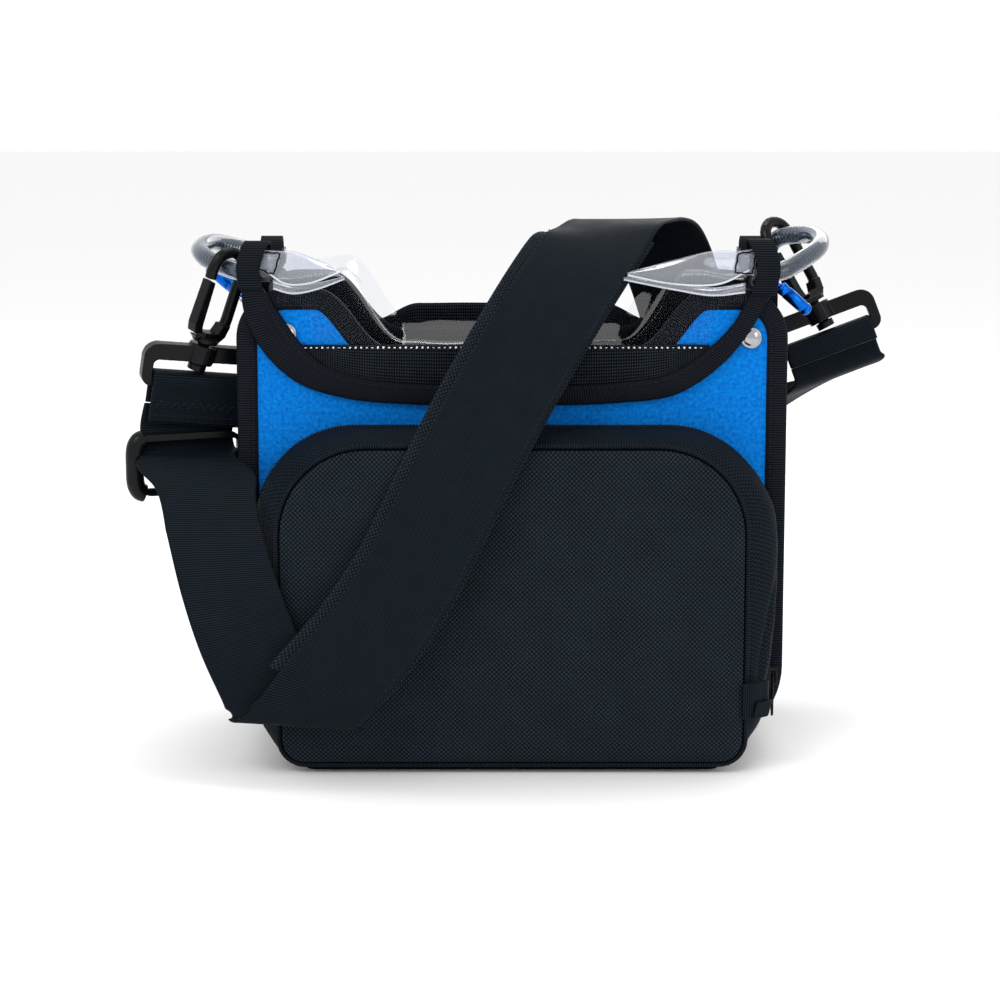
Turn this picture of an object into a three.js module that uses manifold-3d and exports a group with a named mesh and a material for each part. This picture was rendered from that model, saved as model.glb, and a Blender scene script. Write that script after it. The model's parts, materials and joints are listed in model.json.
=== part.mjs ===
// A small over-the-shoulder bag for a portable audio recorder. Millimetres, +Z up, front at -Y.
// The origin is at the middle of the bag's underside.
import * as THREE from "three";
import { mergeVertices } from "three/addons/utils/BufferGeometryUtils.js";
import Module from "manifold-3d";

const wasm = await Module();
wasm.setup();

// Driving dimensions.
const gap = 0.3;
const halfWidth = 144;
const halfDepth = 55;
const panelThickness = 4;
const feltThickness = 1.2;
const bindingWidth = 11;
const bindingThickness = 1.1;
const underside = 3;
const earTop = 249;
const earRadius = 26;
const scoopHeight = 217;
const cornerRadius = 45;
const sideTop = 222;
const sideRecess = 24;
const sideThickness = 3;
const pocketHalfWidth = 134;
const pocketFaceHalfWidth = 121;
const pocketTop = 178;
const pocketFaceTop = 172;
const pocketBottom = 5;
const pocketFaceFront = -98.5;
const zipY = -62;
const bandTop = 220;
const bandBottom = 188;
const webbingWidth = 50;
const webbingThickness = 2;
const tubeRadius = 5.2;
const hookRod = 3.2;
const hookEye = 9.6;
const hookLength = 47;
const barWidth = 62;

const bag = new THREE.Group();
bag.name = "recorder_bag";

const blackFabric = new THREE.MeshStandardMaterial({ color: 0x1c2226, roughness: 0.85, metalness: 0 });
const blueFelt = new THREE.MeshStandardMaterial({ color: 0x0a6fd6, roughness: 0.95, metalness: 0 });
const grosgrain = new THREE.MeshStandardMaterial({ color: 0x15181c, roughness: 0.8, metalness: 0 });
const webbing = new THREE.MeshStandardMaterial({ color: 0x171b1f, roughness: 0.6, metalness: 0 });
const clearVinyl = new THREE.MeshStandardMaterial({ color: 0xe8eef2, roughness: 0.1, metalness: 0 });
const blackPlastic = new THREE.MeshStandardMaterial({ color: 0x131416, roughness: 0.45, metalness: 0 });
const steel = new THREE.MeshStandardMaterial({ color: 0xc9cdd2, roughness: 0.25, metalness: 1 });
const blueMetal = new THREE.MeshStandardMaterial({ color: 0x0b55b8, roughness: 0.25, metalness: 0.8 });

// A solid from a geometry, for joining and cutting.
function solid(geometry) {
  const bare = geometry.index ? geometry.toNonIndexed() : geometry.clone();
  const positions = new THREE.BufferGeometry().setAttribute("position", bare.getAttribute("position"));
  const merged = mergeVertices(positions, 1e-4);
  return new wasm.Manifold(
    new wasm.Mesh({
      numProp: 3,
      vertProperties: merged.attributes.position.array,
      triVerts: new Uint32Array(merged.index.array),
    }),
  );
}

// A geometry from a solid.
function geometryOf(body) {
  const mesh = body.getMesh();
  const geometry = new THREE.BufferGeometry();
  geometry.setAttribute("position", new THREE.BufferAttribute(new Float32Array(mesh.vertProperties), 3));
  geometry.setIndex(new THREE.BufferAttribute(new Uint32Array(mesh.triVerts), 1));
  geometry.computeVertexNormals();
  return geometry;
}

function cut(geometry, ...tools) {
  return geometryOf(tools.reduce((body, tool) => body.subtract(solid(tool)), solid(geometry)));
}

function join(geometry, ...others) {
  return geometryOf(others.reduce((body, other) => body.add(solid(other)), solid(geometry)));
}

function add(name, geometry, material) {
  const mesh = new THREE.Mesh(geometry, material);
  mesh.name = name;
  bag.add(mesh);
  return mesh;
}

// Extrudes a shape drawn in X and Z from yFront to yBack.
function plate(shape, yFront, yBack, curveSegments = 5) {
  const geometry = new THREE.ExtrudeGeometry(shape, {
    depth: yBack - yFront,
    bevelEnabled: false,
    curveSegments,
  });
  geometry.rotateX(Math.PI / 2);
  geometry.translate(0, yBack, 0);
  return geometry;
}

function box(x0, x1, y0, y1, z0, z1) {
  const geometry = new THREE.BoxGeometry(x1 - x0, y1 - y0, z1 - z0);
  geometry.translate((x0 + x1) / 2, (y0 + y1) / 2, (z0 + z1) / 2);
  return geometry;
}

// A rod of round section along a smooth curve through points.
function rod(points, radius, steps, sides = 10) {
  const circle = new THREE.Shape();
  circle.absarc(0, 0, radius, 0, Math.PI * 2, false);
  const path = new THREE.CatmullRomCurve3(points.map((p) => new THREE.Vector3(...p)));
  return new THREE.ExtrudeGeometry(circle, {
    steps,
    curveSegments: sides / 2,
    extrudePath: path,
    bevelEnabled: false,
  });
}

// Lofts a closed solid through rings that all hold the same number of points.
function loft(rings) {
  const count = rings[0].length;
  const positions = rings.flat().flatMap((p) => [p.x, p.y, p.z]);
  const index = [];
  for (let i = 0; i + 1 < rings.length; i++) {
    for (let j = 0; j < count; j++) {
      const a = i * count + j;
      const b = i * count + ((j + 1) % count);
      index.push(a, b, b + count, a, b + count, a + count);
    }
  }
  for (const ring of [0, rings.length - 1]) {
    for (const [a, b, c] of THREE.ShapeUtils.triangulateShape(flatten(rings[ring]), [])) {
      const face = ring === 0 ? [a, c, b] : [a, b, c];
      index.push(...face.map((k) => ring * count + k));
    }
  }
  const geometry = new THREE.BufferGeometry();
  geometry.setAttribute("position", new THREE.Float32BufferAttribute(positions, 3));
  geometry.setIndex(volumeOf(positions, index) < 0 ? index.reverse() : index);
  geometry.computeVertexNormals();
  return geometry;
}

// Six times the volume that the triangles close in, negative where they face inwards.
function volumeOf(positions, index) {
  const corner = (k) => new THREE.Vector3().fromArray(positions, k * 3);
  let volume = 0;
  for (let i = 0; i < index.length; i += 3) {
    const [a, b, c] = [corner(index[i]), corner(index[i + 1]), corner(index[i + 2])];
    volume += a.dot(b.cross(c));
  }
  return volume;
}

// A ring's points in its own plane.
function flatten(ring) {
  const middle = ring.reduce((sum, p) => sum.add(p), new THREE.Vector3()).divideScalar(ring.length);
  const normal = new THREE.Vector3();
  ring.forEach((p, i) => {
    const q = ring[(i + 1) % ring.length];
    normal.add(p.clone().sub(middle).cross(q.clone().sub(middle)));
  });
  normal.normalize();
  const across = ring[1].clone().sub(ring[0]).normalize();
  const up = normal.clone().cross(across);
  return ring.map((p) => new THREE.Vector2(p.clone().sub(middle).dot(across), p.clone().sub(middle).dot(up)));
}

// A strap's route through stations, each [centre, direction across the strap].
function route(stations, width) {
  const middle = stations.map(([c]) => new THREE.Vector3(...c));
  const side = stations.map(([, across], i) => {
    return middle[i].clone().addScaledVector(new THREE.Vector3(...across).normalize(), width);
  });
  return {
    centres: new THREE.CatmullRomCurve3(middle),
    edges: new THREE.CatmullRomCurve3(side),
    last: stations.length - 1,
  };
}

// The flat band along a route between two of its stations; a slanted crossing is widened to keep the width.
function band(way, from, to, width, thickness, steps, shift = [0, 0]) {
  const rings = [];
  for (let i = 0; i <= steps; i++) {
    const t = (from + ((to - from) * i) / steps) / way.last;
    const centre = way.centres.getPoint(t);
    const tangent = way.centres.getTangent(t);
    const across = way.edges.getPoint(t).sub(centre).normalize();
    const up = tangent.clone().cross(across);
    const wide = width / Math.max(0.75, up.length());
    up.normalize();
    centre.addScaledVector(across, shift[0]).addScaledVector(up, shift[1]);
    const corner = (w, n) =>
      centre.clone().addScaledVector(across, (w * wide) / 2).addScaledVector(up, (n * thickness) / 2);
    rings.push([corner(-1, -1), corner(-1, 1), corner(1, 1), corner(1, -1)]);
  }
  return loft(rings);
}

function strap(stations, width, thickness, steps) {
  return band(route(stations, width), 0, stations.length - 1, width, thickness, steps);
}

// The front and rear panels' outline: ears at both sides and a scoop between them.
function panelOutline(inset) {
  const s = new THREE.Shape();
  const bottom = underside + inset;
  const top = earTop - inset;
  const cornerX = halfWidth - cornerRadius;
  const cornerZ = underside + cornerRadius;
  const earX = halfWidth - earRadius;
  const earZ = earTop - earRadius;
  s.moveTo(-cornerX, bottom);
  s.lineTo(cornerX, bottom);
  s.absarc(cornerX, cornerZ, cornerRadius - inset, -Math.PI / 2, 0, false);
  s.lineTo(halfWidth - inset, earZ);
  s.absarc(earX, earZ, earRadius - inset, 0, Math.PI / 2, false);
  s.lineTo(103 + inset * 0.45, top);
  s.bezierCurveTo(84 + inset * 0.6, top, 80, scoopHeight - inset, 60, scoopHeight - inset);
  s.lineTo(-60, scoopHeight - inset);
  s.bezierCurveTo(-80, scoopHeight - inset, -84 - inset * 0.6, top, -103 - inset * 0.45, top);
  s.lineTo(-earX, top);
  s.absarc(-earX, earZ, earRadius - inset, Math.PI / 2, Math.PI, false);
  s.lineTo(-halfWidth + inset, cornerZ);
  s.absarc(-cornerX, cornerZ, cornerRadius - inset, Math.PI, Math.PI * 1.5, false);
  return s;
}

// A rectangle in X and Z with its own radii at the top and at the bottom.
function roundedOutline(half, bottom, top, topRadius, bottomRadius) {
  const s = new THREE.Shape();
  s.moveTo(-half + bottomRadius, bottom);
  s.lineTo(half - bottomRadius, bottom);
  s.absarc(half - bottomRadius, bottom + bottomRadius, bottomRadius, -Math.PI / 2, 0, false);
  s.lineTo(half, top - topRadius);
  s.absarc(half - topRadius, top - topRadius, topRadius, 0, Math.PI / 2, false);
  s.lineTo(-half + topRadius, top);
  s.absarc(-half + topRadius, top - topRadius, topRadius, Math.PI / 2, Math.PI, false);
  s.lineTo(-half, bottom + bottomRadius);
  s.absarc(-half + bottomRadius, bottom + bottomRadius, bottomRadius, Math.PI, Math.PI * 1.5, false);
  return s;
}

// A shape's outline as a ring of points at one depth, without doubled points.
function ringAt(shape, y, segments = 6) {
  const outline = shape.extractPoints(segments).shape;
  const kept = outline.filter((p, i) => p.distanceTo(outline[(i + 1) % outline.length]) > 1e-3);
  return kept.map((p) => new THREE.Vector3(p.x, y, p.y));
}

// Front and rear panels, each a padded board, a felt face and a ribbon bound round its edge.
for (const [side, sign] of [["front", -1], ["rear", 1]]) {
  const span = (near, far) => [sign * (halfDepth - near), sign * (halfDepth - far)].sort((a, b) => a - b);
  const feltEnd = feltThickness;
  const boardEnd = feltEnd + gap + panelThickness;
  const board = plate(panelOutline(bindingThickness + gap), ...span(feltEnd + gap, boardEnd));
  add(`${side}_panel`, board, blackFabric);
  add(`${side}_felt`, plate(panelOutline(bindingWidth + gap), ...span(0, feltEnd)), blueFelt);
  const shell = plate(panelOutline(0), ...span(-0.4, boardEnd + 1.2));
  const core = plate(panelOutline(bindingThickness), ...span(feltEnd, boardEnd + gap));
  const window = plate(panelOutline(bindingWidth), ...span(-5, boardEnd + 5));
  add(`${side}_binding`, cut(shell, core, window), grosgrain);
}

// Side walls, drawn in toward the middle of their depth, and the rounded lower corners.
const wallY = halfDepth - feltThickness - panelThickness - 1.2 - 3 * gap;
function sideProfile(sign) {
  const s = new THREE.Shape();
  const steps = 10;
  const edgeX = (t) => halfWidth - 1.5 - sideRecess * Math.max(0, 1 - t * t);
  for (let i = 0; i <= steps; i++) {
    const t = (2 * i) / steps - 1;
    const x = sign * edgeX(t);
    if (i === 0) s.moveTo(x, t * wallY);
    else s.lineTo(x, t * wallY);
  }
  for (let i = steps; i >= 0; i--) {
    const t = (2 * i) / steps - 1;
    s.lineTo(sign * (edgeX(t) - sideThickness), t * wallY);
  }
  s.closePath();
  return s;
}

for (const [side, sign] of [["left", -1], ["right", 1]]) {
  const wall = new THREE.ExtrudeGeometry(sideProfile(sign), {
    depth: sideTop - underside - cornerRadius - 6,
    bevelEnabled: false,
  });
  wall.translate(0, 0, underside + cornerRadius);
  add(`${side}_side_wall`, wall, blackFabric);
  const lip = new THREE.ExtrudeGeometry(sideProfile(sign), { depth: 6 - gap, bevelEnabled: false });
  lip.translate(0, 0, sideTop - 6 + gap);
  add(`${side}_side_binding`, lip, grosgrain);
}

// The bottom of the side gusset, which turns up at both ends.
const floorBottom = underside + 0.7;
const turnX = halfWidth - 1.5 - cornerRadius;
const turnZ = underside + cornerRadius - gap;
const turnOuter = turnZ - floorBottom;
const trough = new THREE.Shape();
trough.absarc(turnX, turnZ, turnOuter, 0, -Math.PI / 2, true);
trough.absarc(-turnX, turnZ, turnOuter, -Math.PI / 2, -Math.PI, true);
trough.absarc(-turnX, turnZ, turnOuter - sideThickness, -Math.PI, -Math.PI / 2, false);
trough.absarc(turnX, turnZ, turnOuter - sideThickness, -Math.PI / 2, 0, false);
trough.closePath();
add("lower_gusset", plate(trough, -wallY, wallY), blackFabric);
const boardBottom = floorBottom + sideThickness + gap;
add("floor_board", box(-turnX + 6, turnX - 6, -wallY + 4, wallY - 4, boardBottom, boardBottom + 4), blueFelt);
add("base_skid", box(-108, 108, -88, 48, 0, underside - gap), webbing);

// The padded front pocket: zip round its back edge, a sloping side wall and a crowned face.
const pocketRear = -halfDepth - 0.4 - gap;
const tapeOutline = (inset) =>
  roundedOutline(pocketHalfWidth - inset, pocketBottom + inset, pocketTop - inset, 52 - inset, 30 - inset);
function pocketRing(yFront, yBack, outer, inner) {
  return cut(plate(outer, yFront, yBack), plate(inner, yFront - 5, yBack + 5));
}
add("pocket_rear_tape", pocketRing(zipY + 2, pocketRear, tapeOutline(0.8), tapeOutline(3)), blackFabric);
add("pocket_front_tape", pocketRing(zipY - 6, zipY - 2, tapeOutline(0.8), tapeOutline(3)), blackFabric);
const coil = pocketRing(zipY - 2 + gap, zipY + 2 - gap, tapeOutline(0), tapeOutline(3));
const zipEnd = 24;
add("pocket_zip_coil", cut(coil, box(-200, 200, -80, -40, -10, zipEnd)), blackPlastic);
const hem = pocketRing(zipY - 2 + gap, zipY + 2 - gap, tapeOutline(0.8), tapeOutline(3));
add("pocket_hem", cut(hem, box(-200, 200, -80, -40, zipEnd - gap, 300)), blackFabric);

const faceOutline = (inset) =>
  roundedOutline(
    pocketFaceHalfWidth - inset, pocketBottom + inset, pocketFaceTop - inset, 46 - inset, 13 - Math.min(inset, 9),
  );
const faceBack = pocketFaceFront + 5;
const gussetOuter = loft([
  ringAt(faceOutline(0), faceBack + gap),
  ringAt(roundedOutline(pocketHalfWidth - 1, pocketBottom + 0.5, pocketTop - 2, 50, 22), -80),
  ringAt(tapeOutline(0), zipY - 6 - gap),
]);
const gussetInner = loft([
  ringAt(faceOutline(4), faceBack - 1),
  ringAt(roundedOutline(pocketHalfWidth - 5, pocketBottom + 4.5, pocketTop - 6, 46, 18), -80),
  ringAt(tapeOutline(4), zipY - 5),
]);
add("pocket_gusset", cut(gussetOuter, gussetInner), blackFabric);

const crown = loft([
  ringAt(faceOutline(8), pocketFaceFront - 1.2),
  ringAt(faceOutline(2.2), pocketFaceFront + 0.8),
  ringAt(faceOutline(2.2), faceBack),
]);
add("pocket_face", crown, blackFabric);

const pipingPoints = faceOutline(-0.6).getSpacedPoints(56);
const pipingPath = new THREE.CatmullRomCurve3(
  pipingPoints.slice(0, -1).map((p) => new THREE.Vector3(p.x, faceBack - 1, p.y)),
  true,
);
const pipingCircle = new THREE.Shape();
pipingCircle.absarc(0, 0, 1.1, 0, Math.PI * 2, false);
const pipingSweep = { steps: 60, curveSegments: 3, extrudePath: pipingPath };
add("pocket_piping", new THREE.ExtrudeGeometry(pipingCircle, pipingSweep), grosgrain);

// The folded loop of webbing low on the pocket's right side, and the zip's slider with its pull.
const tab = new THREE.Shape();
tab.moveTo(0, 0);
tab.lineTo(6, 0);
tab.absarc(6, 3, 3, -Math.PI / 2, Math.PI / 2, false);
tab.lineTo(0, 6);
tab.lineTo(0, 4.4);
tab.lineTo(6, 4.4);
tab.absarc(6, 3, 1.4, Math.PI / 2, -Math.PI / 2, true);
tab.lineTo(0, 1.6);
const tabGeometry = new THREE.ExtrudeGeometry(tab, { depth: 19, bevelEnabled: false, curveSegments: 5 });
tabGeometry.rotateZ(0.6);
tabGeometry.translate(127.5, -96.5, 30);
add("pocket_tab", tabGeometry, webbing);

const sliderX = pocketHalfWidth + gap + 0.2;
const sliderZ = 44;
const sliderPlate = box(sliderX, sliderX + 2.4, zipY - 4, zipY + 4, sliderZ - 6, sliderZ + 6);
const arch = cut(
  box(sliderX + 2.2, sliderX + 6.2, zipY - 1.3, zipY + 1.3, sliderZ - 5, sliderZ + 5),
  box(sliderX, sliderX + 4.8, zipY - 5, zipY + 5, sliderZ - 3, sliderZ + 3),
);
add("zip_slider", join(sliderPlate, arch), blackPlastic);
const pullShape = new THREE.Shape();
pullShape.moveTo(-3.4, 0.6);
pullShape.lineTo(-3.4, -7);
pullShape.lineTo(-2.6, -19);
pullShape.absarc(0, -19, 2.6, Math.PI, Math.PI * 2, false);
pullShape.lineTo(3.4, -7);
pullShape.lineTo(3.4, 0.6);
const pullHole = new THREE.Path();
pullHole.moveTo(-1.9, -0.6);
pullHole.lineTo(1.9, -0.6);
pullHole.lineTo(1.9, -6.2);
pullHole.lineTo(-1.9, -6.2);
pullShape.holes.push(pullHole);
const pull = new THREE.ExtrudeGeometry(pullShape, { depth: 1.1, bevelEnabled: false, curveSegments: 5 });
pull.rotateX(Math.PI / 2);
pull.rotateZ(Math.PI / 2);
pull.translate(sliderX + 3.05, zipY, sliderZ);
add("zip_pull", pull, blackPlastic);

// The clear cover: a vinyl window that sags between raised corners, with a bound band at front and rear.
// The front band's bound edge sits further out on its left half. Each half runs from the middle outwards.
const rightOuter = [[0, bandBottom], [56, 189.5], [86, 194], [111, 211], [125, 229], [133, 243], [138, 250]];
const rightInner = [[0, 199], [55, 200.5], [82, 205], [101, 217], [115, 231], [123, 245], [128, 250]];
const leftOuter = [
  [0, bandBottom], [-50, 188.6], [-85, 191.5], [-111, 199.5], [-127, 213], [-137, 229], [-140.5, 243], [-140.5, 250],
];
const leftInner = [
  [0, 199], [-52, 199.8], [-80, 203], [-102, 211], [-115, 222], [-124, 236], [-128.5, 246], [-129.5, 250],
];

function mirrored(half) {
  return half.map(([x, z]) => [-x, z]);
}

function edgeThrough(left, right) {
  const line = left.slice().reverse().concat(right.slice(1));
  return new THREE.SplineCurve(line.map(([x, z]) => new THREE.Vector2(x, z))).getSpacedPoints(36);
}

function boundBand(end, outerEdge, innerEdge, bandLeft, bandRight, sign) {
  const binding = new THREE.Shape([...outerEdge, ...innerEdge.slice().reverse()]);
  const lower = innerEdge.map((p) => new THREE.Vector2(p.x * 0.996, p.y + 0.5)).filter((p) => p.y < bandTop);
  const topEdge = [new THREE.Vector2(bandRight, bandTop), new THREE.Vector2(bandLeft, bandTop)];
  const band = new THREE.Shape([...lower, ...topEdge]);
  const depths = (near, far) => (sign < 0 ? [-far, -near] : [near, far]);
  add(`cover_${end}_band`, plate(band, ...depths(57.2, 58.6)), blackFabric);
  add(`cover_${end}_binding`, plate(binding, ...depths(57.2, 59.4)), grosgrain);
}
const frontOuter = edgeThrough(leftOuter, rightOuter);
const frontInner = edgeThrough(leftInner, rightInner);
boundBand("front", frontOuter, frontInner, -111.5, 103, -1);
const rearOuter = edgeThrough(mirrored(rightOuter), rightOuter);
const rearInner = edgeThrough(mirrored(rightInner), rightInner);
boundBand("rear", rearOuter, rearInner, -103, 103, 1);

function smooth(t) {
  const u = Math.min(1, Math.max(0, t));
  return u * u * (3 - 2 * u);
}

function windowProfile(x, out) {
  const top = 221.5 + 34 * smooth((Math.abs(x) - 56) / 34);
  const sag = 17 * (1 - smooth((Math.abs(x) - 55) / 30));
  const low = 214 + 28 * smooth((Math.abs(x) - 96) / 16);
  const front = -56.1 - out;
  const points = [
    [front, low],
    [front, low + (top - low) * 0.75],
    [-52 - out * 0.7, top - 0.6 + out * 0.7],
    [-30, top + 1 - sag * 0.6 + out],
    [0, top - 1.5 - sag + out],
    [30, top + 1 - sag * 0.6 + out],
    [52 + out * 0.7, top - 0.6 + out * 0.7],
    [-front, low + (top - low) * 0.75],
    [-front, low],
  ];
  return points.map(([y, z]) => new THREE.Vector3(x, y, z));
}
const windowRings = [];
for (let i = 0; i <= 24; i++) {
  const x = -123 + (246 * i) / 24;
  windowRings.push([...windowProfile(x, 0.8), ...windowProfile(x, 0).reverse()]);
}
add("cover_window", loft(windowRings), clearVinyl);

// Webbing keepers that hold the side loops at the bag's four top corners. The front ones stand up in a
// slack fold and lean inwards; the rear ones lie close round the loop.
const keeperX = 133;
const slackKeeper = [
  [2.5, -59, 251], [1, -59, 262], [-1, -52.2, 271], [0, -45.3, 262], [0, -45.3, 254], [0, -47, 246], [0, -47, 236],
];
const closeKeeper = [
  [0, 59.4, 251], [0, 59.4, 259], [0, 57.2, 264.6], [0, 51.8, 267], [0, 46.3, 264.6], [0, 44.2, 259],
  [0, 45.2, 253], [0, 47, 246], [0, 47, 236],
];
for (const [end, path] of [["front", slackKeeper], ["rear", closeKeeper]]) {
  for (const [side, sign] of [["left", -1], ["right", 1]]) {
    const stations = path.map(([lean, y, z]) => [[sign * (keeperX + lean), y, z], [1, 0, 0]]);
    add(`${end}_${side}_keeper`, strap(stations, 12, 1.6, 16), webbing);
  }
}

// Chrome caps on the front panel's upper corners.
for (const [side, x, z] of [["left", -118, 225.5], ["right", 124.5, 223.5]]) {
  const profile = [[0, 0], [5.4, 0], [5.4, 0.5], [4.2, 1.4], [2.6, 1.7], [0, 1.7]];
  const cap = new THREE.LatheGeometry(profile.map(([radius, height]) => new THREE.Vector2(radius, height)), 14);
  cap.rotateX(Math.PI);
  cap.translate(x, -halfDepth - gap, z);
  add(`${side}_cap`, cap, steel);
}

// Side loops: a clear tube over a coiled steel core, from the front keeper out and round to the rear one.
const leftLoop = [
  [-125.5, -52.2, 257], [-134, -52.2, 257], [-141, -50.6, 257.4], [-148.6, -43.4, 258.8], [-162, -25, 262.5],
  [-167.5, 0, 265], [-163, 27, 266], [-151, 43.6, 262], [-141, 50.6, 258.5], [-134, 52.2, 257], [-125.5, 52.2, 257],
];
const rightLoop = [
  [125.5, -52.2, 257], [134, -52.2, 257], [141, -50.6, 258], [151, -41, 262], [162, -22, 267],
  [165.5, 2, 270], [161, 27, 270.5], [147.6, 43.8, 267], [140.5, 51.4, 259.2], [134, 52.2, 257], [125.5, 52.2, 257],
];
for (const [side, points] of [["left", leftLoop], ["right", rightLoop]]) {
  const sleeve = new THREE.Shape();
  sleeve.absarc(0, 0, tubeRadius, 0, Math.PI * 2, false);
  const bore = new THREE.Path();
  bore.absarc(0, 0, tubeRadius - 1.4, 0, Math.PI * 2, true);
  sleeve.holes.push(bore);
  const path = new THREE.CatmullRomCurve3(points.map((p) => new THREE.Vector3(...p)));
  const tube = new THREE.ExtrudeGeometry(sleeve, { steps: 26, curveSegments: 5, extrudePath: path });
  add(`${side}_loop_tube`, tube, clearVinyl);
  add(`${side}_loop_core`, rod(points, tubeRadius - 1.4 - gap - 0.2, 26, 8), steel);
}

// Turns a geometry drawn with X, Y and Z along three directions to a place.
function placed(geometry, origin, x, y, z) {
  const matrix = new THREE.Matrix4().makeBasis(x, y, z);
  matrix.setPosition(origin);
  return geometry.clone().applyMatrix4(matrix);
}

// Extrudes a shape by a thickness centred on its own plane; X stays across, Y becomes up.
function slab(shape, thickness, curveSegments = 6) {
  const geometry = new THREE.ExtrudeGeometry(shape, { depth: thickness, bevelEnabled: false, curveSegments });
  geometry.translate(0, 0, -thickness / 2);
  geometry.rotateX(Math.PI / 2);
  return geometry;
}

// A swivel snap hook on the strap's bar: up is the swivel's axis, and the gate is across from the spine.
function snapHook(side, origin, up, spineSide, along) {
  const u = new THREE.Vector3(...up).normalize();
  const v = new THREE.Vector3(...spineSide);
  v.addScaledVector(u, -v.dot(u)).normalize();
  const w = u.clone().cross(v);
  const o = new THREE.Vector3(...origin);

  const shank = rod(
    [[6, 0, 9], [9.3, 0, 17], [hookEye, 0, 27], [hookEye, 0, 38], [hookEye, 0, hookLength],
      [6.8, 0, hookLength + 6.8], [0, 0, hookLength + hookEye], [-6.8, 0, hookLength + 6.8],
      [-hookEye, 0, hookLength], [-9.4, 0, 41]],
    hookRod, 30, 10,
  );
  const shoulder = new THREE.Shape();
  [[-6, 7], [6, 7], [9.5, 11], [11, 17.5], [6, 17.5], [4, 12.5], [-4.5, 12], [-4.5, 9.8], [-9, 9.8]].forEach(
    ([x, y], i) => (i === 0 ? shoulder.moveTo(x, y) : shoulder.lineTo(x, y)),
  );
  const collar = [[0, -9.2], [5, -9.2], [5, -5.6], [3, -5.6], [3, 6.5], [7, 6.5], [7, 9], [0, 9]];
  const spindle = new THREE.LatheGeometry(collar.map(([r, h]) => new THREE.Vector2(r, h)), 16);
  spindle.rotateX(Math.PI / 2);
  const hook = join(spindle, slab(shoulder, 7.6), shank);
  add(`${side}_hook`, placed(hook, o, v, w, u), blackPlastic);

  const gate = new THREE.Shape();
  gate.moveTo(-11.2, 11.4);
  gate.lineTo(-6, 11.4);
  gate.lineTo(-7, 16);
  gate.lineTo(-7.6, 39.5);
  gate.lineTo(-11.6, 40);
  gate.lineTo(-12.4, 16);
  add(`${side}_gate`, placed(slab(gate, 6.6), o, v, w, u), blackPlastic);

  const s = new THREE.Vector3(...along).normalize();
  const n = u.clone().addScaledVector(s, -u.dot(s)).normalize();
  const t = n.clone().cross(s).normalize();
  const frame = roundedOutline(barWidth / 2, -19, 4.5, 8, 6);
  frame.holes.push(roundedOutline(barWidth / 2 - 5.7, -13.5, -4.3, 3, 2));
  const boss = new THREE.CylinderGeometry(7.6, 7.6, 10, 16);
  boss.rotateX(Math.PI / 2);
  const bore = new THREE.CylinderGeometry(3.4, 3.4, 30, 16);
  bore.rotateX(Math.PI / 2);
  const head = new THREE.CylinderGeometry(5.6, 5.6, 8, 16);
  head.rotateX(Math.PI / 2);
  head.translate(0, 0, -5 - 4.02);
  const body = cut(
    join(placed(slab(frame, 7), o, s, t, n), placed(boss, o, v, w, u)),
    placed(bore, o, v, w, u),
    placed(head, o, v, w, u),
  );
  add(`${side}_strap_bar`, body, blackPlastic);
  return { origin: o, s, t, n };
}

const leftBar = snapHook("left", [-164, -40, 213.5], [19.5, -4, 57], [0.7, 0.69, -0.16], [0.93, 0.35, -0.11]);
const rightBar = snapHook("right", [170.2, 37.4, 226.5], [-26.5, 7, 48], [0.64, 0.72, 0.24], [61, 0, 23]);

// A point on a strap bar: along it, out of its plane toward the back, and up.
function onBar({ origin, s, t, n }, along, out, up) {
  return origin.clone().addScaledVector(s, along).addScaledVector(t, out).addScaledVector(n, up).toArray();
}

// The webbing's turn round a bar.
function wrap(bar, frontEnd, backEnd) {
  const turn = [[-5.4, frontEnd], [-5.4, -22], [-5.1, -12.8], [-2.6, -11.5], [0, -11.2], [2.6, -11.5],
    [5.1, -12.8], [5.4, -22], [5.4, backEnd]];
  return turn.map(([out, up]) => [onBar(bar, 0, out, up), bar.s.toArray()]);
}
add("left_tab", strap(wrap(leftBar, -38, -30), webbingWidth, webbingThickness * 0.9, 30), webbing);
add("right_tab", strap(wrap(rightBar, -24, -24), webbingWidth, webbingThickness * 0.9, 30), webbing);

// The strap's adjuster: a frame with two slots, hanging just under the left bar.
const adjusterCentre = new THREE.Vector3(-171, -41, 155);
const adjusterAcross = new THREE.Vector3(0.93, 0.35, 0).normalize();
const adjusterUp = new THREE.Vector3(0, 0, 1);
const adjusterBack = adjusterUp.clone().cross(adjusterAcross);
const adjusterShape = roundedOutline(29.5, -16.5, 16.5, 9, 9);
adjusterShape.holes.push(roundedOutline(26, 2.5, 12.3, 2, 2), roundedOutline(26, -12.3, -2.5, 2, 2));
const adjuster = slab(adjusterShape, 4, 4);
add("strap_adjuster", placed(adjuster, adjusterCentre, adjusterAcross, adjusterBack, adjusterUp), blackPlastic);

function atAdjuster(back, up) {
  return adjusterCentre.clone().addScaledVector(adjusterBack, back).addScaledVector(adjusterUp, up).toArray();
}

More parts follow.
